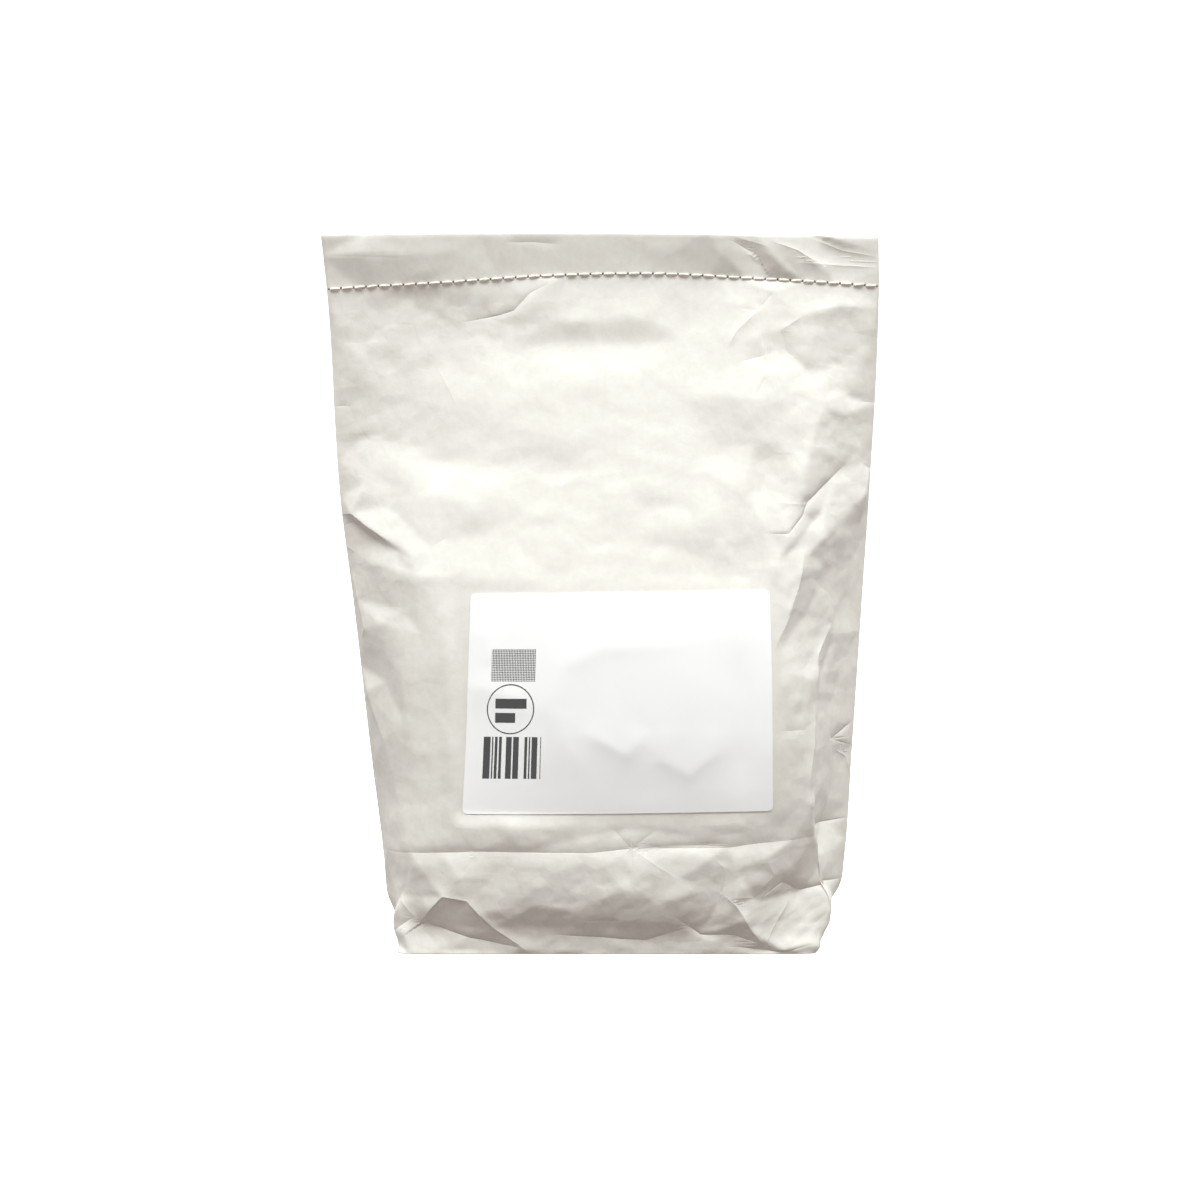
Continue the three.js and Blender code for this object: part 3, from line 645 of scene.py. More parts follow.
def creased_front():
    """Heights of the front's facets on a 1 mm grid over the tube: a plane on each triangle.

    Over the middle of the bag, where the paper only undulates, they are blurred.
    """
    corners, edges = crease_net()
    triangles = delaunay_2d_cdt([Vector(corner[:2]) for corner in corners], edges, [], 0, 1e-3)[2]
    across, up = np.meshgrid(np.arange(-TUBE_HALF, TUBE_HALF + 0.5), np.arange(0, BAG_HEIGHT + 0.5))
    grid = np.zeros(across.shape)
    for triangle in triangles:
        (ax, ay, ah), (bx, by, bh), (cx, cy, ch) = corners[list(triangle)]
        left, low = int(min(ax, bx, cx) + TUBE_HALF), int(min(ay, by, cy))
        box = (slice(low, int(max(ay, by, cy)) + 1), slice(left, int(max(ax, bx, cx) + TUBE_HALF) + 1))
        x, y = across[box] - ax, up[box] - ay
        doubled = (bx - ax) * (cy - ay) - (cx - ax) * (by - ay)
        u = (x * (cy - ay) - (cx - ax) * y) / doubled
        v = ((bx - ax) * y - x * (by - ay)) / doubled
        inside = (u > -1e-6) & (v > -1e-6) & (u + v < 1 + 1e-6)
        grid[box] = np.where(inside, ah + u * (bh - ah) + v * (ch - ah), grid[box])
    soft = np.zeros(across.shape)
    for place, size, share in BLURRED_PLACES:
        soft += share * near(across, up, place, size)
    soft = np.clip(soft, 0, 1)
    return grid * (1 - soft) + spread_evenly(grid, BLUR) * soft


def from_grid(grid, across, up):
    """The grid's value at each place, bilinear between its points."""
    x, y = across + TUBE_HALF, up
    j = np.clip(np.floor(x).astype(int), 0, grid.shape[1] - 2)
    i = np.clip(np.floor(y).astype(int), 0, grid.shape[0] - 2)
    x, y = x - j, y - i
    return ((grid[i, j] * (1 - x) + grid[i, j + 1] * x) * (1 - y)
            + (grid[i + 1, j] * (1 - x) + grid[i + 1, j + 1] * x) * y)


def near(across, up, place, size):
    """exp(-r^2): 1 at a place, falling to nothing about two sizes away from it."""
    return np.exp(-(((across - place[0]) / size[0]) ** 2) - ((up - place[1]) / size[1]) ** 2)


def under_label(across, up):
    """1 where the label holds the paper flat, fading to 0 over the margin around that."""
    corners = np.array(LABEL_CORNERS, float)
    low, high = corners.min(0) + LABEL_INSET[0], corners.max(0) - LABEL_INSET[1]
    past_x = np.maximum(np.maximum(low[0] - across, across - high[0]), 0)
    past_y = np.maximum(np.maximum(low[1] - up, up - high[1]), 0)
    return 1 - smoothstep(np.hypot(past_x, past_y), 0, LABEL_MARGIN)


FRONT_FACETS = creased_front()


def relief(across, up, side):
    """All folds and crumpling of the paper at each place, in mm out of the bag.

    Also gives what the paper's material needs for the same folds: the distance from the nearest
    crisp one, its strength, and how crumpled the paper is.
    """
    front = side < 0
    fields = np.zeros((3, *across.shape))
    for where, folds in ((front, FRONT_FOLDS), (~front, BACK_FOLDS)):
        fields[:, where] = fold_fields(across[where], up[where], folds)
    lift, line, strength = fields
    x = np.where(front, across, BACK_OFFSET - across)
    rough = np.full(across.shape, CALM)
    for place, size, more in CRUMPLED_PLACES:
        rough += more * near(across, up, place, size)
    in_mouth = smoothstep(up, SEAM - MOUTH_FADE, SEAM)
    crumpling = (crumple(x, up, *BROAD_CRUMPLES) * (1 - MOUTH_CALM[0] * in_mouth) * ~front
                 + crumple(x, up, *MAIN_CRUMPLES) * (1 - MOUTH_CALM[1] * in_mouth) * rough
                 + crumple(x, up, *FINE_CRUMPLES) * rough
                 + crumple(WRINKLE_STRETCH * x, up, *WRINKLES) * near(across, up, *WRINKLED_PLACE) * front)
    held = np.where(front, under_label(across, up), 0)
    edge = 1 - np.abs(across / TUBE_HALF) ** EDGE_POWER
    pinch = 1 - PINCH * np.exp(-(((up - SEAM) / PINCH_HEIGHT) ** 2))
    out = (lift * (1 - held) + crumpling * (1 - HELD_CALM * held)) * edge * pinch
    out += np.where(front, from_grid(FRONT_FACETS, across, up) * (1 - held), 0)
    out[front] += fold_fields(across[front], up[front], LABEL_FOLDS)[0] * held[front]
    return out, np.stack([line * MM, strength * (1 - held), rough * (1 - HELD_CALM * held)], -1)


def on_bag(across, up, side, proud):
    """The point of the bag's surface over a place of the tube, raised by `proud` mm.

    A section of the bag is a band of constant length. Its panel lies at half the depth b up to a
    corner crease and then turns by the angle a, with tan(a/2) = (tube width - width) / 2b, so that
    the flank from crease to folded edge is b / sin(a) long and meets the other side's.
    """
    depth = through(HALF_DEPTHS, up)
    width = np.minimum(through(WIDTHS, up), TUBE_WIDTH - DRAW_IN * depth)
    turn = 2 * np.arctan2(TUBE_WIDTH - width, 2 * depth)
    flank = depth / np.sin(turn)
    corner = TUBE_HALF - flank
    share = smoothstep(across, *ROUNDING_SPAN)
    rounding = through(LEFT_ROUNDING, up) * (1 - share) + through(RIGHT_ROUNDING, up) * share
    past = np.abs(across) - corner
    ramp = (past + np.hypot(past, rounding)) / (flank + np.hypot(flank, rounding)) * flank
    bent = (1 + past / np.hypot(past, rounding)) / 2
    t = across / TUBE_HALF
    normal_x = np.sign(across) * np.sin(turn) * bent
    normal_y = side * (1 - (1 - np.cos(turn)) * bent)
    size = np.hypot(normal_x, normal_y)

    hem = HEM_STEP * smoothstep(up, HEM_END - 0.4, HEM_END + 0.1) * (side > 0) * (1 - t ** HEM_POWER)
    out = depth - np.sin(turn) * ramp + through(CROWNS, up) * (1 - t * t) ** 2 + hem
    x = (through(CENTRES, up)
         + through(TUCKS, up) * np.sign(across) * (np.abs(across) - (1 - np.cos(turn)) * ramp))
    lean = smoothstep(up, SEAM, 2 * BAG_HEIGHT - SEAM) * (1 - smoothstep(across, *LEAN_SPAN))
    y = through(MIDPLANES, up) + side * out - MOUTH_LEAN * lean
    z = (up - through(SHORTFALLS, up) - through(EDGE_DROPS, up) * t * t
         + through(SEAM_WANDER, across) * through(SEAM_SHARES, up)
         - MOUTH_SLANT * t * smoothstep(up, SEAM, BAG_HEIGHT))
    return np.stack([x + proud * normal_x / size, y + proud * normal_y / size, z], -1)


# ------------------------------------------------------------------------------------ small tools


def linear(code):
    """A hex sRGB colour as linear RGBA."""
    values = [int(code[i:i + 2], 16) / 255 for i in (1, 3, 5)]
    return [v / 12.92 if v <= 0.04045 else ((v + 0.055) / 1.055) ** 2.4 for v in values] + [1.0]


def node(tree, kind, inputs=None, **settings):
    """Adds a node. An input is a value, or the socket that feeds it."""
    made = tree.nodes.new(kind)
    for name, value in settings.items():
        setattr(made, name, value)
    for name, value in (inputs or {}).items():
        if isinstance(value, bpy.types.NodeSocket):
            tree.links.new(value, made.inputs[name])
        else:
            made.inputs[name].default_value = value
    return made


def new_material(name):
    """An empty node material, and its tree."""
    material = bpy.data.materials.new(name)
    material.use_nodes = True
    material.node_tree.nodes.clear()
    return material, material.node_tree


def new_piece(name, points, faces, material, uv=None, sharp=60):
    """A mesh object from points in mm, lists of corner numbers, and a UV pair for each corner."""
    mesh = bpy.data.meshes.new(name)
    mesh.from_pydata((points * MM).tolist(), [], faces)
    if uv is not None:
        layer = mesh.uv_layers.new(name="paper")
        layer.data.foreach_set("uv", (uv * MM).astype(np.float32).ravel())
    mesh.polygons.foreach_set("use_smooth", np.ones(len(mesh.polygons), bool))
    mesh.set_sharp_from_angle(angle=math.radians(sharp))
    mesh.materials.append(material)
    made = bpy.data.objects.new(name, mesh)
    bpy.context.scene.collection.objects.link(made)
    return made


def grid_faces(rows, around, looped=False):
    """The quads between neighbouring rings of points, and from the last to the first if looped."""
    i, j = np.meshgrid(np.arange(rows if looped else rows - 1), np.arange(around), indexing="ij")
    low, high = i * around, (i + 1) % rows * around
    after = (j + 1) % around
    return np.stack([low + j, low + after, high + after, high + j], -1).reshape(-1, 4)


# -------------------------------------------------------------------------------------- materials

CLOUDS, FORMATION, FIBRES = 34, 3.2, 0.9  # the sizes of the paper's patterns, in mm
# the paper's bumps, in mm
CRINKLES = 0.3  # the height of the facets
FACETS = (11, 5)  # the size of the large and the small facets
SMALL_SHARE = 0.22  # how high the small facets are beside the large ones
HAIRLINES = 0.42  # the height of a hairline where its fold stands 1 mm out
HAIRLINE_WIDTH = 0.7
GRAIN = 0.03  # the height of the fibres' grain
HOLE_RADIUS = 0.75  # of a needle hole's dent, and of the painted shade on the paper round it
HOLE_CORE = 0.3  # within this radius the hole's painted shade is at its darkest
HOLE_DEPTH = 0.25
# what is printed on the label, in mm from its lower left corner, blocks as (left, right, low, high)
PRINTED_BLOCKS = ((12, 34, 63, 78), (8.5, 37.5, 17, 37), (14.5, 30, 50.3, 55), (14.5, 24.5, 43.6, 48.3))
SCREEN_PITCH = 0.8  # of the dots in the first block
SCREEN_DOT = 0.42  # a dot's radius, in pitches
STRIPE = 0.7  # the width of the narrowest stripe in the second
STRIPE_GAPS = 0.3  # the share of that block that stays bare
RING_CENTRE = (22, 50)
RING_RADIUS = 11.5
RING_LINE = 0.6


def facets(tree, place, spacing):
    """F_A - F_B of two random nets of points, as in crumple(), with edges that stay sharp."""
    bowls = []
    for shift in (0.0, 3.7):
        moved = node(tree, "ShaderNodeMapping", {"Vector": place, "Location": (shift, shift, 0)})
        cells = node(tree, "ShaderNodeTexVoronoi", {"Vector": moved.outputs["Vector"],
                                                    "Scale": 1 / (spacing * MM)}, voronoi_dimensions="2D")
        bowl = node(tree, "ShaderNodeMath", {0: cells.outputs["Distance"], 1: 2.0}, operation="POWER")
        bowls.append(bowl.outputs[0])
    return node(tree, "ShaderNodeMath", {0: bowls[0], 1: bowls[1]}, operation="SUBTRACT").outputs[0]


def sack_paper():
    """Bleached kraft paper: matt, off-white, cloudy where its fibres lie denser.

    Its finest creases are bumps: flat facets of two sizes, and a hairline along each crisp fold.
    Along the seam the needle left a row of holes, each dented in the bump and darkened with painted shade.
    """
    material, tree = new_material("bleached_kraft_paper")
    place = node(tree, "ShaderNodeTexCoord").outputs["Object"]
    paper = node(tree, "ShaderNodeUVMap", uv_map="paper").outputs["UV"]
    clouds = node(tree, "ShaderNodeTexNoise", {"Vector": place, "Scale": 1 / (CLOUDS * MM), "Detail": 3.0,
                                               "Roughness": 0.55})
    formation = node(tree, "ShaderNodeTexNoise", {"Vector": place, "Scale": 1 / (FORMATION * MM),
                                                  "Detail": 3.0, "Roughness": 0.6})
    fibres = node(tree, "ShaderNodeTexNoise", {"Vector": place, "Scale": 1 / (FIBRES * MM),
                                               "Detail": 2.0, "Roughness": 0.6})
    tone = node(tree, "ShaderNodeMix", {"Factor": clouds.outputs["Fac"], 6: linear("#e9e7e3"),
                                        7: linear("#e6e4df")}, data_type="RGBA")
    dense = node(tree, "ShaderNodeMapRange", {"Value": formation.outputs["Fac"], "From Min": 0.35,
                                              "From Max": 0.7, "To Min": 0.0, "To Max": 0.55})
    mottled = node(tree, "ShaderNodeMix", {"Factor": dense.outputs["Result"], 6: tone.outputs[2],
                                           7: linear("#dedbd5")}, data_type="RGBA")

    # the needle holes: at every whole pitch along the seam's row, on the front, a dent in the bump and a
    # dark dot of painted shade
    flat = node(tree, "ShaderNodeSeparateXYZ", {"Vector": paper})
    along = node(tree, "ShaderNodeMath", {0: flat.outputs["X"], 1: STITCH_PITCH / 2 * MM},
                 operation="PINGPONG")
    above = node(tree, "ShaderNodeMath", {0: flat.outputs["Y"], 1: SEAM * MM}, operation="SUBTRACT")
    off = node(tree, "ShaderNodeCombineXYZ", {"X": along.outputs[0], "Y": above.outputs[0]})
    away = node(tree, "ShaderNodeVectorMath", {0: off.outputs["Vector"]}, operation="LENGTH")
    hole_dent_and_shade = node(tree, "ShaderNodeMapRange", {
        "Value": away.outputs["Value"], "From Min": HOLE_CORE * MM, "From Max": HOLE_RADIUS * MM,
        "To Min": 1.0, "To Max": 0.0})
    on_front = node(tree, "ShaderNodeMath", {0: flat.outputs["X"], 1: TUBE_HALF * MM},
                    operation="LESS_THAN")
    hole = node(tree, "ShaderNodeMath", {0: hole_dent_and_shade.outputs["Result"], 1: on_front.outputs[0]},
                operation="MULTIPLY")
    # painted shade: the paper in and round each needle hole is mixed towards #4d443b
    paper_with_hole_shade = node(tree, "ShaderNodeMix", {"Factor": hole.outputs[0], 6: mottled.outputs[2],
                                            7: linear("#4d443b")}, data_type="RGBA")

    folds = node(tree, "ShaderNodeSeparateXYZ", {
        "Vector": node(tree, "ShaderNodeAttribute", attribute_name="folds").outputs["Vector"]})
    apart = node(tree, "ShaderNodeMath", {0: folds.outputs["X"]}, operation="ABSOLUTE")
    decay = node(tree, "ShaderNodeMath", {0: apart.outputs[0], 1: -1 / (HAIRLINE_WIDTH * MM)},
                 operation="MULTIPLY")
    profile = node(tree, "ShaderNodeMath", {0: decay.outputs[0]}, operation="EXPONENT")
    hairline = node(tree, "ShaderNodeMath", {0: profile.outputs[0], 1: folds.outputs["Y"]},
                    operation="MULTIPLY")
    small = facets(tree, paper, FACETS[1])
    both = node(tree, "ShaderNodeMath", {0: small, 1: SMALL_SHARE, 2: facets(tree, paper, FACETS[0])},
                operation="MULTIPLY_ADD")
    crinkles = node(tree, "ShaderNodeMath", {0: both.outputs[0], 1: folds.outputs["Z"]},
                    operation="MULTIPLY")
    grain = node(tree, "ShaderNodeMath", {0: formation.outputs["Fac"], 1: fibres.outputs["Fac"]},
                 operation="ADD")
    fine = node(tree, "ShaderNodeMath", {0: grain.outputs[0], 1: GRAIN}, operation="MULTIPLY")
    crinkled = node(tree, "ShaderNodeMath", {0: crinkles.outputs[0], 1: CRINKLES, 2: fine.outputs[0]},
                    operation="MULTIPLY_ADD")
    lined = node(tree, "ShaderNodeMath", {0: hairline.outputs[0], 1: HAIRLINES, 2: crinkled.outputs[0]},
                 operation="MULTIPLY_ADD")
    height = node(tree, "ShaderNodeMath", {0: hole.outputs[0], 1: -HOLE_DEPTH, 2: lined.outputs[0]},
                  operation="MULTIPLY_ADD")
    bump = node(tree, "ShaderNodeBump", {"Height": height.outputs[0], "Strength": 1.0, "Distance": MM})
    shader = node(tree, "ShaderNodeBsdfPrincipled", {
        "Base Color": paper_with_hole_shade.outputs[2], "Roughness": 0.78, "Specular IOR Level": 0.35,
        "Normal": bump.outputs["Normal"]})
    node(tree, "ShaderNodeOutputMaterial", {"Surface": shader.outputs["BSDF"]})
    return material


def label_paper():
    """Smooth self-adhesive label paper, a little glossier and whiter than the bag.

    Its print is black: a screened block, a ring round two bars, and a block of upright stripes.
    """
    material, tree = new_material("coated_label_paper")
    paper = node(tree, "ShaderNodeUVMap", uv_map="paper").outputs["UV"]
    flat = node(tree, "ShaderNodeSeparateXYZ", {"Vector": paper})
    inks = []
    for left, right, low, high in PRINTED_BLOCKS:
        beside = node(tree, "ShaderNodeMath", {0: flat.outputs["X"], 1: (left + right) / 2 * MM,
                                               2: (right - left) / 2 * MM}, operation="COMPARE")
        level = node(tree, "ShaderNodeMath", {0: flat.outputs["Y"], 1: (low + high) / 2 * MM,
                                              2: (high - low) / 2 * MM}, operation="COMPARE")
        inks.append(node(tree, "ShaderNodeMath", {0: beside.outputs[0], 1: level.outputs[0]},
                         operation="MULTIPLY").outputs[0])
    # the screen: a square net of dots that leave nearly half of the paper bare
    dots = node(tree, "ShaderNodeTexVoronoi", {
        "Vector": paper, "Scale": 1 / (SCREEN_PITCH * MM), "Randomness": 0.0}, voronoi_dimensions="2D")
    screen = node(tree, "ShaderNodeMath", {0: dots.outputs["Distance"], 1: SCREEN_DOT},
                  operation="LESS_THAN")
    # the stripes: one random value for each column, bare where it is low
    column = node(tree, "ShaderNodeMath", {0: flat.outputs["X"], 1: 1 / (STRIPE * MM)},
                  operation="MULTIPLY")
    whole = node(tree, "ShaderNodeMath", {0: column.outputs[0]}, operation="FLOOR")
    chance = node(tree, "ShaderNodeTexWhiteNoise", {"W": whole.outputs[0]}, noise_dimensions="1D")
    stripes = node(tree, "ShaderNodeMath", {0: chance.outputs["Value"], 1: STRIPE_GAPS},
                   operation="GREATER_THAN")
    for i, pattern in ((0, screen), (1, stripes)):
        inks[i] = node(tree, "ShaderNodeMath", {0: inks[i], 1: pattern.outputs[0]},
                       operation="MULTIPLY").outputs[0]
    # the ring
    off = node(tree, "ShaderNodeVectorMath", {
        0: paper, 1: (RING_CENTRE[0] * MM, RING_CENTRE[1] * MM, 0)}, operation="DISTANCE")
    inks.append(node(tree, "ShaderNodeMath", {0: off.outputs["Value"], 1: RING_RADIUS * MM,
                                              2: RING_LINE / 2 * MM}, operation="COMPARE").outputs[0])
    ink = inks[0]
    for more in inks[1:]:
        ink = node(tree, "ShaderNodeMath", {0: ink, 1: more}, operation="MAXIMUM").outputs[0]
    printed = node(tree, "ShaderNodeMix", {"Factor": ink, 6: linear("#fafbfd"), 7: linear("#1f1e1f")},
                   data_type="RGBA")
    shader = node(tree, "ShaderNodeBsdfPrincipled", {
        "Base Color": printed.outputs[2], "Roughness": 0.42, "Specular IOR Level": 0.4})
    node(tree, "ShaderNodeOutputMaterial", {"Surface": shader.outputs["BSDF"]})
    return material


def spun_cotton():
    """Twisted cotton thread: matt and soft, with a trace of fuzz that lightens its edges."""
    material, tree = new_material("spun_cotton_thread")
    place = node(tree, "ShaderNodeTexCoord").outputs["Object"]
    fuzz = node(tree, "ShaderNodeTexNoise", {"Vector": place, "Scale": 1 / (0.35 * MM), "Detail": 2.0})
    colour = node(tree, "ShaderNodeMix", {"Factor": fuzz.outputs["Fac"], 6: linear("#fbf7ee"),
                                          7: linear("#efe9dc")}, data_type="RGBA")
    bump = node(tree, "ShaderNodeBump", {"Height": fuzz.outputs["Fac"], "Strength": 0.6,
                                         "Distance": 0.12 * MM})
    shader = node(tree, "ShaderNodeBsdfPrincipled", {
        "Base Color": colour.outputs[2], "Roughness": 0.9, "Specular IOR Level": 0.2,
        "Sheen Weight": 0.25, "Sheen Roughness": 0.5, "Normal": bump.outputs["Normal"]})
    node(tree, "ShaderNodeOutputMaterial", {"Surface": shader.outputs["BSDF"]})
    return material


# ------------------------------------------------------------------------------------- the pieces

FRONT_COLUMNS = 240
BACK_COLUMNS = 120
FOOT_BAND = 64  # up to here the bag's rows lie closer together
BASE_RINGS = (0.98, 0.9, 0.8, 0.7, 0.6, 0.5, 0.4, 0.3, 0.2, 0.12, 0.05)  # shares of the foot's outline
CALM_BASE = (0.03, 0, 0.3)  # the base's fold attribute: away from all folds, hardly crumpled
SHEET_LIFTS = (0.32, 0.14)  # how far the label's two faces lie off the paper
LABEL_COLUMNS = 108
LABEL_ROWS = 75
FOOT_FILLET = 0.7  # the radius on which the walls turn into the base
MOUTH_ROLL = 2.0  # the height over which the fold at the very top rolls over


def bag_rows():
    """The heights of the bag's rows, closest where the paper turns sharply."""
    return np.concatenate([
        FOOT_FILLET * (1 - np.cos(np.linspace(0, np.pi / 2, 5)))[:-1],
        np.linspace(FOOT_FILLET, FOOT_BAND, 52, endpoint=False),
        np.linspace(FOOT_BAND, HEM_END - 1, 168, endpoint=False),
        np.linspace(HEM_END - 1, HEM_END + 1, 8, endpoint=False),
        np.linspace(HEM_END + 1, BAG_HEIGHT - MOUTH_ROLL, 24, endpoint=False),
        BAG_HEIGHT - MOUTH_ROLL * (1 - np.sin(np.linspace(0, np.pi / 2, 6))),
    ])


def zipped(front, back):
    """Triangles between two edges that share their ends, the front with twice as many steps."""
    a, b, c = front[0:-1:2], front[1::2], front[2::2]
    d, e = back[:-1], back[1:]
    faces = np.concatenate([np.stack(t, -1) for t in ((a, b, d), (b, c, e), (b, e, d))])
    return faces[(faces[:, 0] != faces[:, 2]) & (faces[:, 1] != faces[:, 2])]


def paper_bag(material):
    """The whole bag: rings of paper from foot to mouth, shut by a rolled fold and a flat base."""
    front = np.linspace(-TUBE_HALF, TUBE_HALF, FRONT_COLUMNS + 1)
    back = np.linspace(TUBE_HALF, -TUBE_HALF, BACK_COLUMNS + 1)[1:-1]
    across = np.concatenate([front, back])
    side = np.concatenate([-np.ones(front.size), np.ones(back.size)])
    up = bag_rows()
    q, z = np.meshgrid(across, up)
    s = np.broadcast_to(side, q.shape)
    # the fillet round the foot: r - sqrt(r^2 - (r - z)^2)
    below = np.maximum(FOOT_FILLET - z, 0)
    fillet = FOOT_FILLET - np.sqrt(FOOT_FILLET ** 2 - below ** 2)
    lift, folds = relief(q, z, s)
    walls = on_bag(q, z, s, lift * smoothstep(z, 0, 2) - fillet)
    # the roll at the top draws both sides in to the fold's middle on a half circle
    rise = np.clip((z - (BAG_HEIGHT - MOUTH_ROLL)) / MOUTH_ROLL, 0, 0.995)
    fold_middle = through(MIDPLANES, z) + HEM_STEP / 2
    walls[..., 1] = fold_middle + (walls[..., 1] - fold_middle) * np.sqrt(1 - rise ** 2)

    # the base: rings that close from the foot's outline onto a line along its middle
    foot = walls[0]
    middle_x = (foot[:, 0].min() + foot[:, 0].max()) / 2
    reach = (foot[:, 0].max() - foot[:, 0].min()) / 2 - np.abs(foot[:, 1]).max()
    spine = np.stack([np.clip(foot[:, 0], middle_x - reach, middle_x + reach), 0 * foot[:, 0]], -1)
    inward = np.array(BASE_RINGS)[:, None, None]
    flat = foot[None, :, :2] + (spine - foot[:, :2])[None] * inward
    base = np.concatenate([flat, np.zeros((*flat.shape[:2], 1))], -1)

    rings = np.concatenate([base, walls])
    around = across.size
    quads = grid_faces(len(rings), around)
    front_ids = np.arange(FRONT_COLUMNS + 1)
    back_ids = np.r_[0, np.arange(around - 1, FRONT_COLUMNS, -1), FRONT_COLUMNS]
    top = (len(rings) - 1) * around
    lid = zipped(front_ids, back_ids)
    lids = np.concatenate([lid[:, ::-1], lid + top])
    # the paper's own coordinates, running on round the tube past its right edge
    run = np.r_[front, TUBE_WIDTH - back, TUBE_WIDTH + TUBE_HALF]
    height = np.r_[np.linspace(-30, -1, len(base)), up]
    u0, v0 = np.meshgrid(run[:-1], height[:-1])
    u1, v1 = np.meshgrid(run[1:], height[1:])
    corners = np.stack([np.stack([u0, v0], -1), np.stack([u1, v0], -1), np.stack([u1, v1], -1),
                        np.stack([u0, v1], -1)], -2).reshape(-1, 2)
    uv = np.concatenate([corners, np.zeros((lids.size, 2))])
    made = new_piece("paper_bag", rings.reshape(-1, 3), quads.tolist() + lids.tolist(), material, uv,
                     sharp=55)
    folds = np.concatenate([np.broadcast_to(CALM_BASE, base.shape), folds])
    made.data.attributes.new("folds", "FLOAT_VECTOR", "POINT").data.foreach_set(
        "vector", folds.astype(np.float32).ravel())
    return made


def stuck_label(material):
    """A thin sheet on the front: rings round its thickness, its corners rounded on an arc."""
    wide, high = LABEL_SIZE
    arc = LABEL_CORNER * (1 - np.cos(np.linspace(0, np.pi / 2, 5)))
    between = np.linspace(LABEL_CORNER, high - LABEL_CORNER, LABEL_ROWS + 1)[1:-1]
    rows = np.r_[arc, between, high - arc[::-1]]
    past = np.maximum(np.abs(rows - high / 2) - (high / 2 - LABEL_CORNER), 0)
    inset = LABEL_CORNER - np.sqrt(np.maximum(LABEL_CORNER ** 2 - past ** 2, 0))
    share = np.linspace(0, 1, LABEL_COLUMNS + 1)
    x = inset[:, None] + (wide - 2 * inset[:, None]) * share[None, :]
    y = np.broadcast_to(rows[:, None], x.shape)
    u, v = x / wide, y / high
    corners = np.array(LABEL_CORNERS, float)
    weights = ((1 - v) * (1 - u), (1 - v) * u, v * u, v * (1 - u))
    place = sum(weight[..., None] * corner for weight, corner in zip(weights, corners))
    q, z = place[..., 0], place[..., 1]
    side = -np.ones(q.shape)
    bumps, _ = relief(q, z, side)
    outer, inner = (on_bag(q, z, side, bumps + lift) for lift in SHEET_LIFTS)
    ring = np.concatenate([outer, inner[:, ::-1]], 1)
    count = share.size
    quads = grid_faces(len(rows), 2 * count)
    last = (len(rows) - 1) * 2 * count
    ends = np.arange(count - 1)
    low = np.stack([ends + 1, ends, 2 * count - 1 - ends, 2 * count - 2 - ends], -1)
    quads = np.concatenate([quads, low, low[:, ::-1] + last])
    flat = np.stack([x, y], -1)
    flat = np.concatenate([flat, flat[:, ::-1]], 1).reshape(-1, 2)
    return new_piece("stuck_label", ring.reshape(-1, 3), quads.tolist(), material,
                     flat[quads.ravel()], sharp=55)


STITCHES = int(TUBE_WIDTH // STITCH_PITCH)
STITCH_CENTRES = (np.arange(STITCHES) + 0.5 - STITCHES / 2) * STITCH_PITCH
DASH_LENGTH = 0.92  # in pitches
DASH_SLANT = 0.1  # how far a dash rises from its middle to its end
DASH_RADIUS = 0.56
DASH_RISE = 0.4  # how far a dash arches off the paper
LOOP_LENGTH = 0.62  # half of a loop's length on the back, in pitches
LOOP_WIDTH = 0.95  # half of a loop's width
LOOP_RADIUS = 0.5  # of its thread
LOOP_LIFT = (0.75, 0.38)  # how far its middle lies off the paper, and how much more its start


def dash_stitches(material):
    """The front of the seam: a row of dashes of three-ply thread that dive into needle holes.

    A dash lies h (1 - s^4) off the paper, for s from -1 to 1 along it, and its radius falls off
    towards its ends as (1 - s^4)^0.6. Round its section the radius goes as
    0.84 + 0.16 |cos(1.5 (angle - twist))|, which leaves a groove between the plies.
    """
    s = np.linspace(-1, 1, 19)
    angle = np.linspace(0, 2 * np.pi, 15)[:-1]
    jitter = np.random.default_rng(5).normal(0, 1, (STITCHES, 4))
    length = STITCH_PITCH * (DASH_LENGTH + 0.02 * jitter[:, 0])
    slant = DASH_SLANT * (1 + jitter[:, 1])
    thick = DASH_RADIUS * (1 + 0.06 * jitter[:, 2])
    across = STITCH_CENTRES[:, None] + length[:, None] / 2 * s
    radius = thick[:, None] * np.maximum(1 - s ** 4, 0.002) ** 0.6
    proud = 0.05 + DASH_RISE * (1 - s ** 4)
    side = -np.ones(across.shape)
    seam = np.full(across.shape, SEAM)
    bumps, _ = relief(across, seam, side)
    line = on_bag(across, seam, side, bumps + proud)
    line[..., 2] += slant[:, None] * s
    plies = 0.84 + 0.16 * np.abs(np.cos(1.5 * (angle[None, None, :] - 2.6 * s[None, :, None]
                                              - jitter[:, 3][:, None, None])))
    r = radius[..., None] * plies
    points = np.repeat(line[:, :, None, :], angle.size, 2)
    points[..., 1] += -np.cos(angle) * r * 0.85
    points[..., 2] += np.sin(angle) * r
    return rope_piece("dash_stitches", points, material)


def rope_piece(name, points, material):
    """Closed tubes from points[tube, along, around], each end drawn together in one face."""
    tubes, along, around = points.shape[:3]
    one = grid_faces(along, around)
    first = np.arange(around)[::-1]
    last = (along - 1) * around + np.arange(around)
    offset = np.arange(tubes) * along * around
    faces = (one[None] + offset[:, None, None]).reshape(-1, 4).tolist()
    faces += (first[None] + offset[:, None]).tolist() + (last[None] + offset[:, None]).tolist()
    return new_piece(name, points.reshape(-1, 3), faces, material, sharp=80)


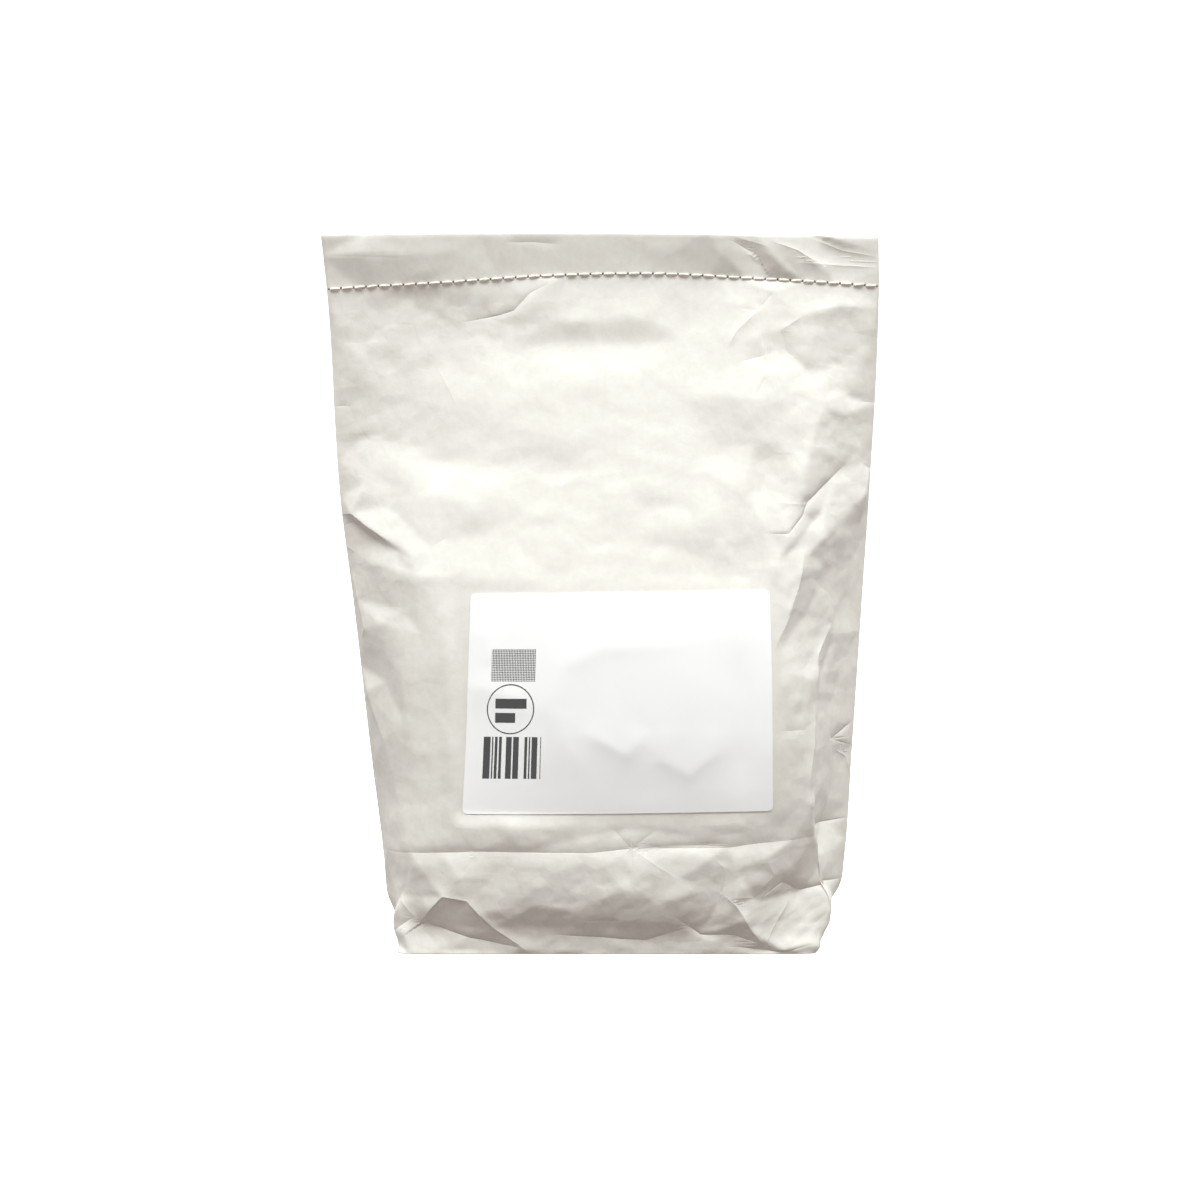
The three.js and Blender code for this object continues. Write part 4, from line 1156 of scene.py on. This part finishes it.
def chain_stitches(material):
    """The back of the seam: a chain of loops, each drawn through the one before it.

    A loop's middle line is a closed teardrop, x = -cos t, z = sin t (1 - 0.45 cos t), one and a
    quarter pitches long, so it overlaps the loops before and after it.
    """
    t = np.linspace(0, 2 * np.pi, 29)[:-1]
    angle = np.linspace(0, 2 * np.pi, 9)[:-1]
    jitter = np.random.default_rng(8).normal(0, 1, (STITCHES, 3))
    half_wide = LOOP_WIDTH * (1 + 0.08 * jitter[:, 0])
    x = STITCH_CENTRES[:, None] - LOOP_LENGTH * STITCH_PITCH * np.cos(t)
    z = half_wide[:, None] * np.sin(t) * (1 - 0.45 * np.cos(t)) + 0.12 * jitter[:, 1][:, None]
    proud = np.broadcast_to(LOOP_LIFT[0] + LOOP_LIFT[1] * np.cos(t), x.shape)
    held = np.clip(x, -TUBE_HALF + 1, TUBE_HALF - 1)
    line = on_bag(held, np.full(x.shape, SEAM), np.ones(x.shape), proud)
    line[..., 2] += z
    ahead = np.roll(line, -1, 1) - np.roll(line, 1, 1)
    ahead /= np.linalg.norm(ahead, axis=-1, keepdims=True)
    out = np.zeros(line.shape)
    out[..., 1] = 1
    beside = np.cross(ahead, out)
    beside /= np.linalg.norm(beside, axis=-1, keepdims=True)
    out = np.cross(beside, ahead)
    plies = LOOP_RADIUS * (0.86 + 0.14 * np.abs(np.cos(1.5 * (angle[None, :] - 5 * t[:, None]))))
    points = (line[:, :, None, :] + plies[None, :, :, None] * (
        np.cos(angle)[:, None] * out[:, :, None, :] + np.sin(angle)[:, None] * beside[:, :, None, :]))
    tubes, along, around = points.shape[:3]
    one = grid_faces(along, around, looped=True)
    faces = (one[None] + (np.arange(tubes) * along * around)[:, None, None]).reshape(-1, 4)
    return new_piece("chain_stitches", points.reshape(-1, 3), faces.tolist(), material, sharp=80)


# ---------------------------------------------------------------------------------- stage, lights


def stage_bowl():
    """A white floor that rises into a round backdrop, the same from every side."""
    rise = np.sin(np.linspace(0, np.pi / 2, 9))
    radius = np.r_[0.001, 0.4, 0.8, 1.6, 2.4 + 0.8 * rise, 3.2]
    height = np.r_[0, 0, 0, 0, 0.8 - 0.8 * np.sqrt(1 - rise ** 2), 4.0]
    turn = np.linspace(0, 2 * np.pi, 97)[:-1]
    points = np.stack([radius[:, None] * np.cos(turn), radius[:, None] * np.sin(turn),
                       np.repeat(height[:, None], turn.size, 1)], -1)
    material, tree = new_material("studio_floor")
    shader = node(tree, "ShaderNodeBsdfPrincipled", {
        "Base Color": linear("#eeeeee"), "Roughness": 0.9, "Specular IOR Level": 0.0,
        "Emission Color": linear("#ffffff"), "Emission Strength": 0.72})
    node(tree, "ShaderNodeOutputMaterial", {"Surface": shader.outputs["BSDF"]})
    floor = new_piece("studio_floor", points.reshape(-1, 3) / MM,
                      grid_faces(len(radius), turn.size)[:, ::-1].tolist(), material)
    # the bag's shades come from the sky and the lamps alone, as if it stood in a large dim room
    floor.visible_diffuse = False


def soft_box(name, energy, colour, size, azimuth, elevation, distance):
    """A rectangular area lamp that looks at the bag's middle. Azimuth 0 is in front of the bag."""
    lamp = bpy.data.lights.new(name, "AREA")
    lamp.shape = "RECTANGLE"
    lamp.size, lamp.size_y = size
    lamp.energy = energy
    lamp.color = colour
    made = bpy.data.objects.new(name, lamp)
    bpy.context.scene.collection.objects.link(made)
    turn, rise = math.radians(azimuth), math.radians(elevation)
    made.location = (distance * math.sin(turn) * math.cos(rise),
                     -distance * math.cos(turn) * math.cos(rise), 0.18 + distance * math.sin(rise))
    made.rotation_euler = (math.pi / 2 - rise, 0, turn)


def light_the_stage():
    """A wide soft box high in front, a weaker one behind, and a sky that is dim and warm below."""
    world = bpy.data.worlds.new("sky")
    bpy.context.scene.world = world
    world.use_nodes = True
    tree = world.node_tree
    tree.nodes.clear()
    direction = node(tree, "ShaderNodeSeparateXYZ", {
        "Vector": node(tree, "ShaderNodeTexCoord").outputs["Generated"]})
    rising = node(tree, "ShaderNodeMapRange", {"Value": direction.outputs["Z"], "From Min": -0.8,
                                               "From Max": 0.8})
    colour = node(tree, "ShaderNodeMix", {"Factor": rising.outputs["Result"],
                                          6: (0.225, 0.19, 0.173, 1), 7: (0.64, 0.58, 0.55, 1)},
                  data_type="RGBA")
    sky = node(tree, "ShaderNodeBackground", {"Color": colour.outputs[2], "Strength": 1.0})
    node(tree, "ShaderNodeOutputWorld", {"Surface": sky.outputs["Background"]})
    soft_box("front_soft_box", 175, (0.925, 1.0, 0.98), (4.2, 1.2), 3, 66, 3.4)
    soft_box("back_soft_box", 130, (0.925, 1.0, 0.98), (4.2, 1.2), 183, 66, 3.4)


def set_camera():
    """The photograph's view: 4 degrees above level, 0.64 m from the bag's middle."""
    elevation, distance, middle = math.radians(4), 0.640, 0.1689
    focal_length, frame_width = 1306, 1200  # in the photograph's pixels
    camera = bpy.data.cameras.new("camera")
    camera.sensor_width = 36
    camera.lens = focal_length / frame_width * camera.sensor_width
    eye = bpy.data.objects.new("camera", camera)
    bpy.context.scene.collection.objects.link(eye)
    eye.location = (0, -distance * math.cos(elevation), middle + distance * math.sin(elevation))
    eye.rotation_euler = (math.pi / 2 - elevation, 0, 0)
    bpy.context.scene.camera = eye


# --------------------------------------------------------------------------------------- assembly

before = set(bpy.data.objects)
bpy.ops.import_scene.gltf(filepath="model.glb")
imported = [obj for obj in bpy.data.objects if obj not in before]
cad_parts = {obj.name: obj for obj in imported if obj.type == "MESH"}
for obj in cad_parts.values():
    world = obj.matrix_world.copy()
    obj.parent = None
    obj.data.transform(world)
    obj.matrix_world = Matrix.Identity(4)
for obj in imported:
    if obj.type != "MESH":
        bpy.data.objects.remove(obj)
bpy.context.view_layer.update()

set_camera()
light_the_stage()
stage_bowl()

paper = sack_paper()
cotton = spun_cotton()
for piece, node_name, slot in (
        (paper_bag(paper), "bag", "bag_paper"),
        (stuck_label(label_paper()), "label", "label_paper"),
        (dash_stitches(cotton), "thread_front", "sewing_thread"),
        (chain_stitches(cotton), "thread_back", "sewing_thread")):
    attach(piece, "root")
    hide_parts(node_name)

bpy.context.scene.view_settings.view_transform = "Standard"
